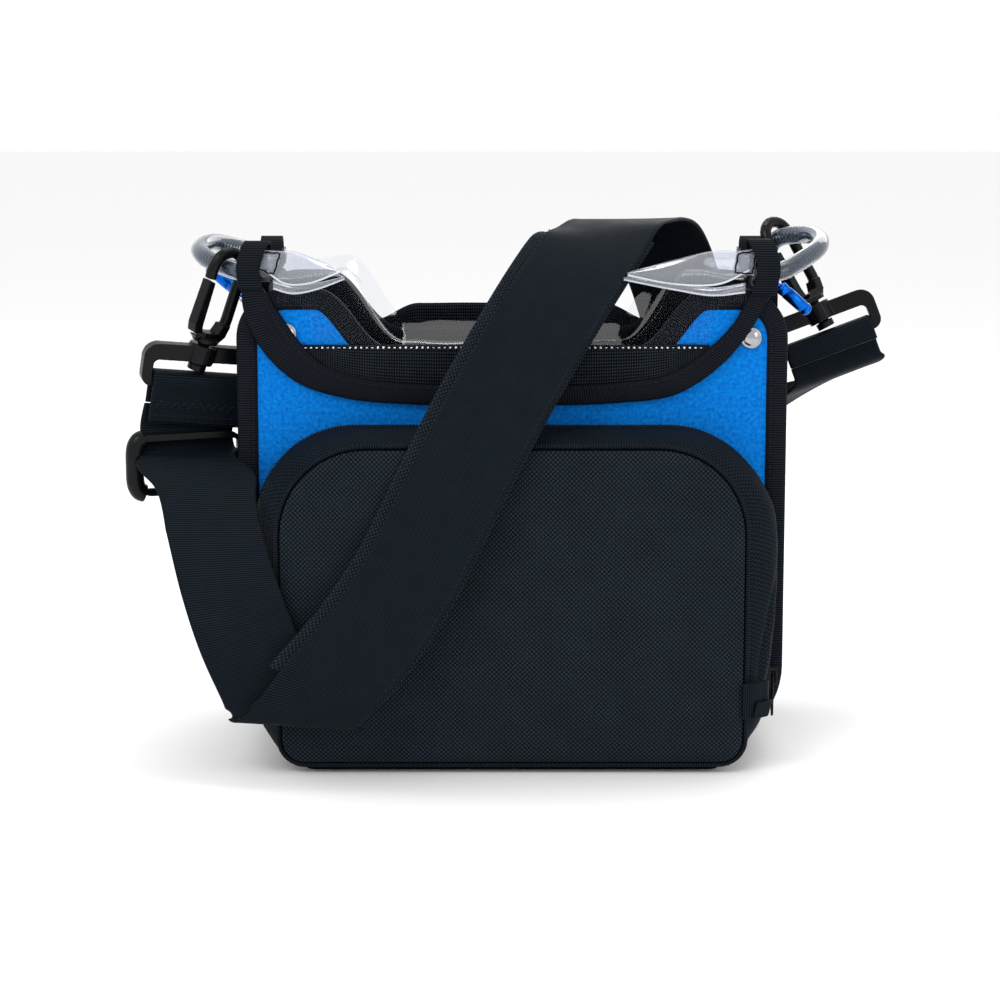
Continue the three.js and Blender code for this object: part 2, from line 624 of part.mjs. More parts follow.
// The strap's route, from the left bar through the adjuster, down in a turn, up across the pocket,
// over the top and down behind the bag to the right bar.
const adjusterWay = adjusterAcross.toArray();
const stations = [
  [onBar(leftBar, 0, 5.4, -31), leftBar.s.toArray()],
  [atAdjuster(4.6, 17), adjusterWay],
  [atAdjuster(4.1, 11.7), adjusterWay],
  [atAdjuster(1, 7.8), adjusterWay],
  [atAdjuster(-3, 6.4), adjusterWay],
  [[-170.6, -50, 160.5], [0.99, 0.14, 0]],
  [[-169, -61, 159.5], [0.99, -0.1, 0]],
  [[-160, -76, 149], [0.97, -0.2, 0]],
  [[-154, -88, 128], [0.97, -0.22, 0.04]],
  [[-146, -99, 101], [0.98, -0.14, 0.1]],
  [[-136, -106, 74], [0.97, 0, 0.2]],
  [[-125, -109, 51], [0.97, 0, 0.16]],
  [[-117, -110, 38], [0.99, 0, 0]],
  [[-111, -114.5, 31], [0.99, 0, -0.07]],
  [[-104, -119, 38], [0.99, -0.02, -0.15]],
  [[-94, -121, 51], [0.93, -0.1, -0.32]],
  [[-73, -119, 76], [0.88, -0.2, -0.41]],
  [[-52, -116, 108], [0.88, -0.22, -0.41]],
  [[-32, -110.5, 148], [0.88, -0.22, -0.42]],
  [[-11, -99, 188], [0.88, -0.18, -0.46]],
  [[13, -80, 228], [0.88, -0.12, -0.46]],
  [[31, -60, 255], [0.93, -0.06, -0.36]],
  [[43, -42, 271], [0.97, 0, -0.2]],
  [[51, -25, 278.5], [1, 0, 0]],
  [[59, -5, 280.5], [1, 0, 0]],
  [[68, 17, 278], [1, 0, 0.08]],
  [[78, 41, 269], [0.96, 0.05, 0.2]],
  [[88, 60, 252], [0.93, 0.05, 0.3]],
  [[97, 73, 226], [0.9, 0.05, 0.38]],
  [[105, 82, 200], [0.9, 0.05, 0.38]],
  [[113, 88, 178], [0.92, 0.1, 0.35]],
  [[124, 92, 163], [0.85, 0.15, 0.5]],
  [[139, 90, 160], [0.75, 0.2, 0.62]],
  [[155, 81, 168], [0.8, 0.2, 0.55]],
  [[168, 65, 180], [0.9, 0.1, 0.4]],
  [onBar(rightBar, -1, 8, -34), rightBar.s.toArray()],
  [onBar(rightBar, 0, 5.4, -24.5), rightBar.s.toArray()],
];
const strapWay = route(stations, webbingWidth);
const runs = [
  ["strap_hanging", 0, 13, 44],
  ["strap_diagonal", 13.07, 21, 30],
  ["strap_crossing", 21.03, 29, 26],
  ["strap_behind", 29.03, 36, 24],
];
for (const [name, from, to, steps] of runs) {
  add(name, band(strapWay, from, to, webbingWidth, webbingThickness, steps), webbing);
}
add("strap_pad", band(strapWay, 15, 22.5, 57, 1.8, 26, [-2.5, 2.3]), blackFabric);

// Narrow webbing rails that join the front and rear keepers, and carry the small rings.
for (const [side, sign] of [["left", -1], ["right", 1]]) {
  const path = [[133, -44, 245], [130, -30, 241.5], [128, 0, 240], [130, 30, 241.5], [133, 44, 245]];
  const rail = path.map(([x, y, z]) => [[sign * x, y, z], [0.35 * sign, 0, 1]]);
  add(`${side}_side_rail`, strap(rail, 12, 1.4, 8), webbing);
}

// A blue barrel on a split ring, and the small loop that holds the ring.
function charm(side, centre, barrelWay, ringWay, tailWay) {
  const b = new THREE.Vector3(...barrelWay).normalize();
  const e = new THREE.Vector3(...ringWay);
  e.addScaledVector(b, -e.dot(b)).normalize();
  const a = b.clone().cross(e);
  const c = new THREE.Vector3(...centre);
  const ringRadius = 5.2;
  const ring = new THREE.TorusGeometry(ringRadius, 0.6, 6, 18);
  add(`${side}_ring`, placed(ring, c, b, e, a), steel);

  const eye = new THREE.Shape();
  eye.absarc(0, 0, 2.6, Math.PI / 3, (Math.PI * 5) / 3, false);
  eye.lineTo(4.6, -2.6);
  eye.lineTo(4.6, 2.6);
  const hole = new THREE.Path();
  hole.absarc(0, 0, 1.3, 0, Math.PI * 2, true);
  eye.holes.push(hole);
  const profile = [[0, 3.6], [3, 3.6], [3.5, 4.3], [3.5, 22], [3, 24], [1.8, 25.2], [0, 25.6]];
  const barrel = new THREE.LatheGeometry(profile.map(([r, h]) => new THREE.Vector2(r, h)), 14);
  barrel.rotateZ(-Math.PI / 2);
  const end = c.clone().addScaledVector(b, ringRadius);
  add(`${side}_barrel`, placed(join(barrel, slab(eye, 2.4)), end, b, e, a), blueMetal);

  const d = new THREE.Vector3(...tailWay);
  d.addScaledVector(e, -d.dot(e)).normalize();
  const loop = new THREE.Shape();
  loop.absarc(0, 0, 2.2, 0.35, Math.PI * 2 - 0.35, false);
  loop.lineTo(6.5, -0.75);
  loop.lineTo(6.5, 0.75);
  loop.holes.push(hole);
  const start = c.clone().addScaledVector(b, -ringRadius);
  add(`${side}_ring_loop`, placed(slab(loop, 3.2), start, d, e, d.clone().cross(e)), webbing);
}
charm("left", [-140, -24, 240], [-0.73, 0.42, 0.54], [0.6, 0.8, 0], [0.6, -0.2, 0.2]);
charm("right", [137.5, -7, 251], [0.75, 0.1, -0.65], [0.5, 0.85, 0.2], [-0.3, 0, -0.9]);

export default bag;
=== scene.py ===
"""The looks of a small shoulder bag for a portable audio recorder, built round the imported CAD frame.

Lengths are millimetres until a mesh is made; Blender's own units are metres.
"""

import json
import random
from math import cos, exp, hypot, pi, radians, sin

import bmesh
import bpy
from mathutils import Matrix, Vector, noise

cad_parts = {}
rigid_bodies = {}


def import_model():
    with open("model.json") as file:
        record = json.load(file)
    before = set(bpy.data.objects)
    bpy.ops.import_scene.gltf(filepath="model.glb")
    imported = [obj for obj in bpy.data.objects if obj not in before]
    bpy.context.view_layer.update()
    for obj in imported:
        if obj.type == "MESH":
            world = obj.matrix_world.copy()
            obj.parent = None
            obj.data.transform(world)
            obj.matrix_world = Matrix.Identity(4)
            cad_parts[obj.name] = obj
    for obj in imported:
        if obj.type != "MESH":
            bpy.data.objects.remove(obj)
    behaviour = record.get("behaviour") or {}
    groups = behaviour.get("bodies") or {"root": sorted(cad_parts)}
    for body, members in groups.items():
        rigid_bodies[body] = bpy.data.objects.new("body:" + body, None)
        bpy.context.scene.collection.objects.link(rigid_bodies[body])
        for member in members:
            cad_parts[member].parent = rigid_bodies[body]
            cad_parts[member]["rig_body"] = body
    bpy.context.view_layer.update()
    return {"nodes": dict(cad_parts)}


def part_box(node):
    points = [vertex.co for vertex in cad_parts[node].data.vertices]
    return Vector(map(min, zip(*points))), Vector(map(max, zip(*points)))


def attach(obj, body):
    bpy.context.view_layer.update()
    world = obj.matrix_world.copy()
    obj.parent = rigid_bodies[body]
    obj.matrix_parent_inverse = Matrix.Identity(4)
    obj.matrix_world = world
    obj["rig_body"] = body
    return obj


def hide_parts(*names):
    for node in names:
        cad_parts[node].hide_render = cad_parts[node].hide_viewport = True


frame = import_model()
MM = 0.001
rng = random.Random(7)

# Driving dimensions, the same as the CAD part's.
HALF_WIDTH = 144
HALF_DEPTH = 55
UNDERSIDE = 3
EAR_TOP = 249
EAR_RADIUS = 26
SCOOP = 217
CORNER = 45
SIDE_RECESS = 24
POCKET_HALF = 134
FACE_HALF = 121
FACE_FRONT = -98.5
ZIP_Y = -62
WEBBING_WIDTH = 50
WEBBING_THICKNESS = 2
TUBE_RADIUS = 5.2
KEEPER_X = 133

# More lengths, for the details.
VINYL_HALF_WIDTH = 122
SPRING_RADIUS = 3.1
SPRING_PITCH = 1.8
THREAD_WANDER = 0.25


# Materials


class Paint:
    """A material whose nodes are added one call at a time."""

    def __init__(self, name, color, roughness, **inputs):
        self.material = bpy.data.materials.new(name)
        self.material.use_nodes = True
        self.tree = self.material.node_tree
        self.shader = self.tree.nodes["Principled BSDF"]
        self.put(self.shader, "Base Color", (*color, 1))
        self.put(self.shader, "Roughness", roughness)
        for key, value in inputs.items():
            self.put(self.shader, key.replace("_", " "), value)

    def put(self, node, key, value):
        if isinstance(value, bpy.types.NodeSocket):
            self.tree.links.new(value, node.inputs[key])
        else:
            node.inputs[key].default_value = value

    def node(self, kind, inputs, output=0, **settings):
        made = self.tree.nodes.new(kind)
        for key, value in settings.items():
            setattr(made, key, value)
        for key, value in inputs.items():
            self.put(made, key, value)
        return made.outputs[output]

    def math(self, operation, a, b=0.0):
        return self.node("ShaderNodeMath", {0: a, 1: b}, operation=operation)

    def uv(self):
        return self.node("ShaderNodeTexCoord", {}, "UV")

    def place(self):
        return self.node("ShaderNodeTexCoord", {}, "Object")

    def noise(self, where, scale, detail=3.0):
        inputs = {"Vector": where, "Scale": scale, "Detail": detail}
        return self.node("ShaderNodeTexNoise", inputs, "Fac")

    def ripple(self, coordinate, pitch):
        """A wave from 0 to 1 that repeats every pitch metres along a coordinate."""
        turn = self.math("MULTIPLY", coordinate, 2 * pi / pitch)
        return self.math("MULTIPLY_ADD", self.math("SINE", turn), 0.5)

    def ramp(self, value, low, high, start=0.0, end=1.0):
        made = self.tree.nodes.new("ShaderNodeValToRGB")
        made.color_ramp.elements[0].position = start
        made.color_ramp.elements[1].position = end
        made.color_ramp.elements[0].color = (*low, 1)
        made.color_ramp.elements[1].color = (*high, 1)
        self.put(made, "Fac", value)
        return made.outputs["Color"]

    def rough(self, value, low, high):
        inputs = {"Value": value, "To Min": low, "To Max": high}
        self.put(self.shader, "Roughness", self.node("ShaderNodeMapRange", inputs))

    def bump(self, height, distance, strength=1.0):
        inputs = {"Height": height, "Distance": distance, "Strength": strength}
        if self.shader.inputs["Normal"].links:
            inputs["Normal"] = self.shader.inputs["Normal"].links[0].from_socket
        self.put(self.shader, "Normal", self.node("ShaderNodeBump", inputs))


CLOTH_GLOSS = 0.05
CLOTH_ROUGHNESS = 0.62


def weave(name, dark, light, pitch, depth):
    """A coated plain weave: each yarn crossing is a small bump, with paler worn patches."""
    paint = Paint(name, dark, CLOTH_ROUGHNESS, Specular_IOR_Level=CLOTH_GLOSS)
    uv = paint.uv()
    wobble = paint.noise(uv, 160)
    axes = paint.tree.nodes.new("ShaderNodeSeparateXYZ")
    paint.put(axes, "Vector", uv)
    waves = []
    for axis in ("X", "Y"):
        turn = paint.math("MULTIPLY", axes.outputs[axis], pi / pitch)
        waves.append(paint.math("SINE", paint.math("ADD", turn, paint.math("MULTIPLY", wobble, 0.9))))
    product = paint.math("MULTIPLY", *waves)
    crossing = paint.math("POWER", paint.math("ABSOLUTE", product), 0.6)
    cloud = paint.noise(uv, 45, 5)
    # Tone rises with each crossing's height and on the yarn lying on top: painted highlight on the raised
    # yarn and painted shade in the gaps. The cloud term is random tone.
    tone = paint.math("ADD", paint.math("MULTIPLY", crossing, 0.35), paint.math("MULTIPLY", cloud, 0.25))
    over = paint.math("MULTIPLY", paint.math("GREATER_THAN", product, 0.0), 0.42)
    paint.put(paint.shader, "Base Color", paint.ramp(paint.math("ADD", tone, over), dark, light, 0.24, 0.98))
    paint.rough(cloud, CLOTH_ROUGHNESS - 0.08, CLOTH_ROUGHNESS + 0.12)
    paint.bump(crossing, depth)
    paint.bump(paint.noise(uv, 2600, 2), depth * 0.5, 0.6)
    return paint.material


def ribbed(name, dark, light, pitch, depth, roughness, across_pitch=None):
    """A ribbon whose ribs run across its length, as U runs along it."""
    paint = Paint(name, dark, roughness, Specular_IOR_Level=CLOTH_GLOSS)
    uv = paint.uv()
    axes = paint.tree.nodes.new("ShaderNodeSeparateXYZ")
    paint.put(axes, "Vector", uv)
    height = paint.ripple(axes.outputs["X"], pitch)
    if across_pitch:
        height = paint.math("MULTIPLY", height, paint.ripple(axes.outputs["Y"], across_pitch))
    cloud = paint.noise(uv, 90, 5)
    fibre = paint.noise(uv, 1800, 2)
    # Rib crests are painted lighter and the hollows darker, following the rib height: painted highlight and
    # painted shade on the ribs. The fibre and cloud terms are random tone.
    mixed = paint.math("ADD", paint.math("MULTIPLY", height, 0.65), paint.math("MULTIPLY", fibre, 0.25))
    tone = paint.math("ADD", mixed, paint.math("MULTIPLY", cloud, 0.25))
    paint.put(paint.shader, "Base Color", paint.ramp(tone, dark, light, 0.25, 0.95))
    paint.rough(cloud, roughness - 0.08, roughness + 0.1)
    paint.bump(height, depth)
    paint.bump(fibre, depth * 0.4, 0.5)
    return paint.material


def felt(name, dark, light):
    """Brushed loop felt: soft mottling over a fine pile."""
    paint = Paint(name, dark, 0.95, Specular_IOR_Level=0.08)
    uv = paint.uv()
    blotch = paint.noise(uv, 520, 5)
    pile = paint.noise(uv, 2600, 3)
    tone = paint.math("ADD", paint.math("MULTIPLY", blotch, 0.6), paint.math("MULTIPLY", pile, 0.4))
    paint.put(paint.shader, "Base Color", paint.ramp(tone, dark, light, 0.32, 0.68))
    paint.bump(pile, 0.0004)
    paint.bump(blotch, 0.0004, 0.5)
    return paint.material


def moulded(name, color, roughness):
    """Satin moulded plastic with a fine spark-eroded grain and faint handling marks."""
    paint = Paint(name, color, roughness, Specular_IOR_Level=0.16)
    where = paint.place()
    scuffs = paint.noise(where, 130, 5)
    lighter = tuple(c * 1.7 + 0.001 for c in color)
    paint.put(paint.shader, "Base Color", paint.ramp(scuffs, color, lighter, 0.45, 0.85))
    paint.rough(scuffs, roughness - 0.08, roughness + 0.14)
    paint.bump(paint.noise(where, 2800, 2), 0.00008, 0.5)
    return paint.material


def metal(name, color, roughness, streak=900):
    paint = Paint(name, color, roughness, Metallic=1.0)
    where = paint.place()
    marks = paint.noise(where, streak, 4)
    darker = tuple(c * 0.72 for c in color)
    paint.put(paint.shader, "Base Color", paint.ramp(marks, darker, color, 0.3, 0.6))
    paint.rough(marks, roughness * 0.6, roughness * 1.5)
    paint.bump(marks, 0.00001, 0.3)
    return paint.material


def clear(name, tint, haze, ripple_depth, gloss, most):
    """Clear flexible vinyl: mostly see-through, shinier where it is seen edge on, but never over most."""
    paint = Paint(name, (0.9, 0.93, 0.96), 0.12)
    tree = paint.tree
    where = paint.place()
    paint.bump(paint.noise(where, 55, 3), ripple_depth, 0.7)
    normal = paint.shader.inputs["Normal"].links[0].from_socket
    fresnel = paint.node("ShaderNodeFresnel", {"IOR": 1.5, "Normal": normal})
    mirror = paint.math("MINIMUM", paint.math("MULTIPLY", fresnel, gloss), most)
    marks = paint.noise(where, 120, 5)
    smear = paint.node("ShaderNodeMapRange", {"Value": marks, "To Min": 0.03, "To Max": 0.13})
    through = paint.node("ShaderNodeBsdfTransparent", {"Color": (*tint, 1)})
    inputs = {"Color": (1, 1, 1, 1), "Roughness": smear, "Normal": normal}
    gloss_shader = paint.node("ShaderNodeBsdfGlossy", inputs)
    milk = paint.node("ShaderNodeBsdfDiffuse", {"Color": (0.86, 0.9, 0.94, 1), "Normal": normal})
    hazy = paint.node("ShaderNodeMixShader", {0: haze, 1: through, 2: milk})
    final = paint.node("ShaderNodeMixShader", {0: mirror, 1: hazy, 2: gloss_shader})
    tree.links.new(final, tree.nodes["Material Output"].inputs["Surface"])
    return paint.material


CORDURA = weave("coarse_weave", (0.0002, 0.0004, 0.0009), (0.0220, 0.0320, 0.0450), 0.0012, 0.00022)
GUSSET = weave("gusset_weave", (0.0002, 0.0004, 0.0008), (0.0090, 0.0170, 0.0280), 0.0012, 0.0002)
LINING = weave("black_lining", (0.0008, 0.0010, 0.0014), (0.0030, 0.0040, 0.0055), 0.0012, 0.0001)
BOUND = ribbed("binding_ribbon", (0.0002, 0.0004, 0.0008), (0.0120, 0.0155, 0.0230), 0.0013, 0.0002, 0.6)
BAND = ribbed("cover_band", (0.0006, 0.0010, 0.0018), (0.0300, 0.0400, 0.0530), 0.0013, 0.0003, 0.6, 0.0018)
STRAP = ribbed("strap_webbing", (0.0008, 0.0016, 0.0030), (0.0080, 0.0132, 0.0198), 0.0012, 0.00009, 0.5)
BLUE = felt("blue_felt", (0.0, 0.080, 0.385), (0.003, 0.260, 0.83))
# The blue felt inside the bag, painted about half as bright as the outer felt: painted shade inside the bag.
SHADED_FELT = felt("shaded_lining_felt", (0.0, 0.03, 0.20), (0.001, 0.10, 0.46))
PLASTIC = moulded("black_acetal", (0.0020, 0.0024, 0.0032), 0.24)
COIL = moulded("zip_nylon", (0.014, 0.017, 0.022), 0.4)
THREAD = ribbed("black_thread", (0.004, 0.006, 0.009), (0.022, 0.028, 0.036), 0.0006, 0.0001, 0.45)
DARK_THREAD = ribbed("dark_thread", (0.001, 0.001, 0.001), (0.006, 0.006, 0.007), 0.0006, 0.0001, 0.5)
CHROME = metal("chrome", (0.40, 0.41, 0.43), 0.13, 120)
WIRE = metal("spring_wire", (0.10, 0.13, 0.18), 0.3)
ANODISED = metal("blue_anodised", (0.004, 0.13, 0.60), 0.24, 240)
VINYL = clear("clear_vinyl", (0.95, 0.96, 0.975), 0.0, 0.0005, 0.13, 0.1)
FOLD = clear("folded_vinyl", (0.80, 0.81, 0.87), 0.13, 0.0006, 0.8, 0.55)
TUBE = clear("clear_tube", (0.86, 0.90, 0.94), 0.02, 0.0001, 0.9, 0.9)
# A milky, very glossy vinyl for the bright spots on the needle holes and fold edges: painted highlights.
GLINT = clear("vinyl_painted_highlight", (0.95, 0.97, 0.99), 0.6, 0.0002, 1.6, 0.9)


# Meshes


def build(name, points, faces, corners, paints, body="bag", stands_for=(), slot=None, outward=True):
    """A smooth mesh piece from points in millimetres; corners holds each face corner's UV in metres."""
    data = bpy.data.meshes.new(name)
    data.from_pydata([(p[0] * MM, p[1] * MM, p[2] * MM) for p in points], [], [f[0] for f in faces])
    for paint in paints:
        data.materials.append(paint)
    layer = data.uv_layers.new(name="length_and_width")
    for polygon, (_, index), uv in zip(data.polygons, faces, corners):
        polygon.material_index = index
        polygon.use_smooth = True
        for loop, (u, v) in zip(polygon.loop_indices, uv):
            layer.data[loop].uv = (u * MM, v * MM)
    if outward:
        shape = bmesh.new()
        shape.from_mesh(data)
        bmesh.ops.recalc_face_normals(shape, faces=shape.faces)
        shape.to_mesh(data)
        shape.free()
    piece = bpy.data.objects.new(name, data)
    bpy.context.scene.collection.objects.link(piece)
    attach(piece, body)
    if stands_for:
        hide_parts(*stands_for)
    return piece


def running(points, closed):
    """Each point's distance along a line, and one more for the way back to the start when it is closed."""
    total = [0.0]
    for a, b in zip(points, points[1:] + ([points[0]] if closed else [])):
        total.append(total[-1] + (Vector(a) - Vector(b)).length)
    return total


def sweep(name, rings, paint, closed=False, around=True, choose=None, **keys):
    """A skin over rings of points. U runs from ring to ring and V round each ring."""
    count = len(rings[0])
    points = [p for ring in rings for p in ring]
    middles = [sum((Vector(p) for p in ring), Vector()) / count for ring in rings]
    u = running(middles, closed)
    v = running(list(rings[len(rings) // 2]), around)
    faces, corners = [], []
    for i in range(len(rings) if closed else len(rings) - 1):
        for j in range(count if around else count - 1):
            a, b = i * count, ((i + 1) % len(rings)) * count
            k = (j + 1) % count
            faces.append(((a + j, a + k, b + k, b + j), choose(j) if choose else 0))
            corners.append(((u[i], v[j]), (u[i], v[j + 1]), (u[i + 1], v[j + 1]), (u[i + 1], v[j])))
    if around and not closed:
        for start in (0, (len(rings) - 1) * count):
            faces.append((tuple(range(start, start + count)), 0))
            corners.append([(v[j], 0.0) for j in range(count)])
    paints = paint if isinstance(paint, (list, tuple)) else [paint]
    return build(name, points, faces, corners, paints, **keys)


DISC_LEVELS = (1, 0.985, 0.96, 0.92, 0.86, 0.78, 0.66, 0.5, 0.3, 0.12)


def disc(name, outline, centre, depth, paint, levels=DISC_LEVELS, **keys):
    """A crowned panel: the outline in X and Z shrunk toward its centre, with Y from depth(level, x, z)."""
    count = len(outline)
    points = []
    for level in levels:
        for x, z in outline:
            px, pz = centre[0] + (x - centre[0]) * level, centre[1] + (z - centre[1]) * level
            points.append((px, depth(level, px, pz), pz))
    points.append((centre[0], depth(0, *centre), centre[1]))
    faces = []
    for i in range(len(levels) - 1):
        for j in range(count):
            k = (j + 1) % count
            faces.append(((i * count + j, i * count + k, (i + 1) * count + k, (i + 1) * count + j), 0))
    last = (len(levels) - 1) * count
    faces += [((last + j, last + (j + 1) % count, len(points) - 1), 0) for j in range(count)]
    corners = [[(points[k][0], points[k][2]) for k in face] for face, _ in faces]
    return build(name, points, faces, corners, [paint], outward=False, **keys)


def soften(node, paint, voxel, rounds):
    """A rounded, smooth piece made from a CAD node's own shape, which it stands for."""
    source = frame["nodes"][node]
    data = source.data.copy()
    data.materials.clear()
    data.materials.append(paint)
    piece = bpy.data.objects.new(node + "_smooth", data)
    bpy.context.scene.collection.objects.link(piece)
    weld = piece.modifiers.new("weld", "WELD")
    weld.merge_threshold = 0.00001
    remesh = piece.modifiers.new("remesh", "REMESH")
    remesh.mode = "VOXEL"
    remesh.voxel_size = voxel * MM
    remesh.use_smooth_shade = True
    soft = piece.modifiers.new("soften", "SMOOTH")
    soft.factor = 0.6
    soft.iterations = rounds
    bpy.context.view_layer.update()
    made = bpy.data.meshes.new_from_object(piece.evaluated_get(bpy.context.evaluated_depsgraph_get()))
    piece.modifiers.clear()
    piece.data = made
    box_unwrap(made)
    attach(piece, source["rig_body"])
    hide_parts(node)
    return piece


def box_unwrap(data):
    """UVs in metres, each face seen along the axis that it faces most."""
    layer = data.uv_layers.new(name="length_and_width")
    for polygon in data.polygons:
        n = [abs(c) for c in polygon.normal]
        keep = {0: (1, 2), 1: (0, 2), 2: (0, 1)}[n.index(max(n))]
        for loop in polygon.loop_indices:
            co = data.vertices[data.loops[loop].vertex_index].co
            layer.data[loop].uv = (co[keep[0]], co[keep[1]])


def smooth(t):
    t = min(1.0, max(0.0, t))
    return t * t * (3 - 2 * t)


# Outlines


def arc(cx, cz, radius, start, end, steps=14):
    turns = [radians(start + (end - start) * i / steps) for i in range(steps + 1)]
    return [(cx + radius * cos(a), cz + radius * sin(a)) for a in turns]


def bezier(a, b, c, d, steps=14):
    found = []
    for i in range(steps + 1):
        t = i / steps
        k = ((1 - t) ** 3, 3 * t * (1 - t) ** 2, 3 * t * t * (1 - t), t**3)
        found.append(tuple(sum(w * p[axis] for w, p in zip(k, (a, b, c, d))) for axis in (0, 1)))
    return found


def spaced(points, count, closed=True):
    """The line through points, divided into equal steps."""
    line = points + ([points[0]] if closed else [])
    total = running([(p[0], 0, p[1]) for p in line], False)
    found, k = [], 0
    for i in range(count):
        want = total[-1] * i / (count if closed else count - 1)
        while k < len(line) - 2 and total[k + 1] < want:
            k += 1
        t = (want - total[k]) / max(1e-9, total[k + 1] - total[k])
        found.append(tuple(line[k][axis] + (line[k + 1][axis] - line[k][axis]) * t for axis in (0, 1)))
    return found


def panel_outline(count=420):
    cx, cz = HALF_WIDTH - CORNER, UNDERSIDE + CORNER
    ex, ez = HALF_WIDTH - EAR_RADIUS, EAR_TOP - EAR_RADIUS
    right = arc(cx, cz, CORNER, -90, 0) + arc(ex, ez, EAR_RADIUS, 0, 90)
    right += bezier((103, EAR_TOP), (84, EAR_TOP), (80, SCOOP), (60, SCOOP))
    left = [(-x, z) for x, z in reversed(right)]
    return spaced([(0, UNDERSIDE)] + right + [(0, SCOOP)] + left, count)


def rounded(half, bottom, top, top_radius, bottom_radius, count=300):
    right = arc(half - bottom_radius, bottom + bottom_radius, bottom_radius, -90, 0)
    right += arc(half - top_radius, top - top_radius, top_radius, 0, 90)
    left = [(-x, z) for x, z in reversed(right)]
    return spaced([(0, bottom)] + right + left, count)


def inward(outline, closed=True):
    """At each point of a line, the unit direction to its left, which is inward on a closed outline."""
    count = len(outline)
    found = []
    for i in range(count):
        a = outline[(i - 1) % count] if closed else outline[max(i - 1, 0)]
        b = outline[(i + 1) % count] if closed else outline[min(i + 1, count - 1)]
        dx, dz = b[0] - a[0], b[1] - a[1]
        size = hypot(dx, dz)
        found.append((-dz / size, dx / size))
    return found


def hoop(name, outline, profile, paint, **keys):
    """A band that follows an outline; its profile is a closed list of (distance inward, Y)."""
    rings = []
    for (x, z), (nx, nz) in zip(outline, inward(outline)):
        rings.append([(x + nx * inset, y, z + nz * inset) for inset, y in profile])
    return sweep(name, rings, paint, closed=True, **keys)


def tube(name, path, radius, paint, sides=8, closed=False, **keys):
    """A round tube along a line of points, its section carried along without twist."""
    path = [Vector(p) for p in path]
    count = len(path)
    side = None
    rings = []
    for i in range(count):
        a = path[(i - 1) % count] if closed else path[max(i - 1, 0)]
        b = path[(i + 1) % count] if closed else path[min(i + 1, count - 1)]
        way = (b - a).normalized()
        if side is None:
            side = way.orthogonal().normalized()
        side = (side - way * side.dot(way)).normalized()
        up = way.cross(side)
        turns = [2 * pi * k / sides for k in range(sides)]
        rings.append([path[i] + (side * cos(a) + up * sin(a)) * radius for a in turns])
    return sweep(name, rings, paint, closed=closed, **keys)


def stitches(name, path, face, paint=None, pitch=3.4, length=2.5, radius=0.33, uneven=0.0, **keys):
    """A row of sewn thread along a line. Face is the way out of the cloth, and uneven varies its size."""
    path = [Vector(p) for p in path]
    total = running(path, False)
    outward = Vector(face).normalized()
    points, faces, corners = [], [], []
    k = 0
    for i in range(int(total[-1] / pitch)):
        want = (i + 0.5) * pitch
        while k < len(path) - 2 and total[k + 1] < want:
            k += 1
        t = (want - total[k]) / max(1e-9, total[k + 1] - total[k])
        middle = path[k].lerp(path[k + 1], t)
        way = (path[k + 1] - path[k]).normalized()
        side = way.cross(outward).normalized()
        start = len(points)
        bulk = radius * (1 - uneven * rng.random())
        for along, size, lift in ((-0.5, 0.35, -0.25), (-0.3, 1, 0.05), (0.3, 1, 0.05), (0.5, 0.35, -0.25)):
            for a in (0, 1.05, 2.09, 3.14, 4.19, 5.24):
                offset = side * cos(a) + outward * sin(a) * 0.8
                points.append(middle + way * along * length + (offset * size + outward * lift) * bulk)
        for r in range(3):
            for s in range(6):
                a, b = start + r * 6 + s, start + r * 6 + (s + 1) % 6
                faces.append(((a, b, b + 6, a + 6), 0))
                corners.append(((r, s), (r, s + 1), (r + 1, s + 1), (r + 1, s)))
    return build(name, points, faces, corners, [paint or THREAD], outward=False, **keys)


def lathe(name, profile, centre, axis, paint, sides=40, **keys):
    """A turned piece; its profile is (radius, height along the axis)."""
    up = Vector(axis).normalized()
    side = up.orthogonal().normalized()
    other = up.cross(side)
    rings = []
    for radius, height in profile:
        turns = [2 * pi * k / sides for k in range(sides)]
        middle = Vector(centre) + up * height
        rings.append([middle + (side * cos(a) + other * sin(a)) * radius for a in turns])
    return sweep(name, rings, paint, **keys)


# Straps


def spline(points, t):
    """A centripetal Catmull-Rom curve, with t from 0 to 1 over all its points."""
    last = len(points) - 1
    i = min(int(t * last), last - 1)
    w = t * last - i
    b, c = points[i], points[i + 1]
    a = points[i - 1] if i > 0 else b * 2 - c
    d = points[i + 2] if i + 2 <= last else c * 2 - b
    ab, bc, cd = (max(1e-4, (q - p).length ** 0.5) for p, q in ((a, b), (b, c), (c, d)))
    m = ((b - a) / ab - (c - a) / (ab + bc) + (c - b) / bc) * bc
    n = ((c - b) / bc - (d - b) / (bc + cd) + (d - c) / cd) * bc
    cubic = (b * 2 - c * 2 + m + n) * w**3 + (b * -3 + c * 3 - m * 2 - n) * w**2
    return cubic + m * w + b


def strap_section(width, thickness):
    """Webbing's section: flat faces, rounded selvedges a little thicker than the middle."""
    half = thickness / 2
    places = [-1, -0.985, -0.95, -0.9, -0.7, -0.45, -0.2, 0.2, 0.45, 0.7, 0.9, 0.95, 0.985, 1]
    top = []
    for s in places:
        edge = 0.25 if abs(s) == 1 else (0.8 if abs(s) > 0.97 else (1.12 if abs(s) > 0.92 else 1.0))
        top.append((s * width / 2, half * edge))
    return top + [(x, -n) for x, n in reversed(top)]


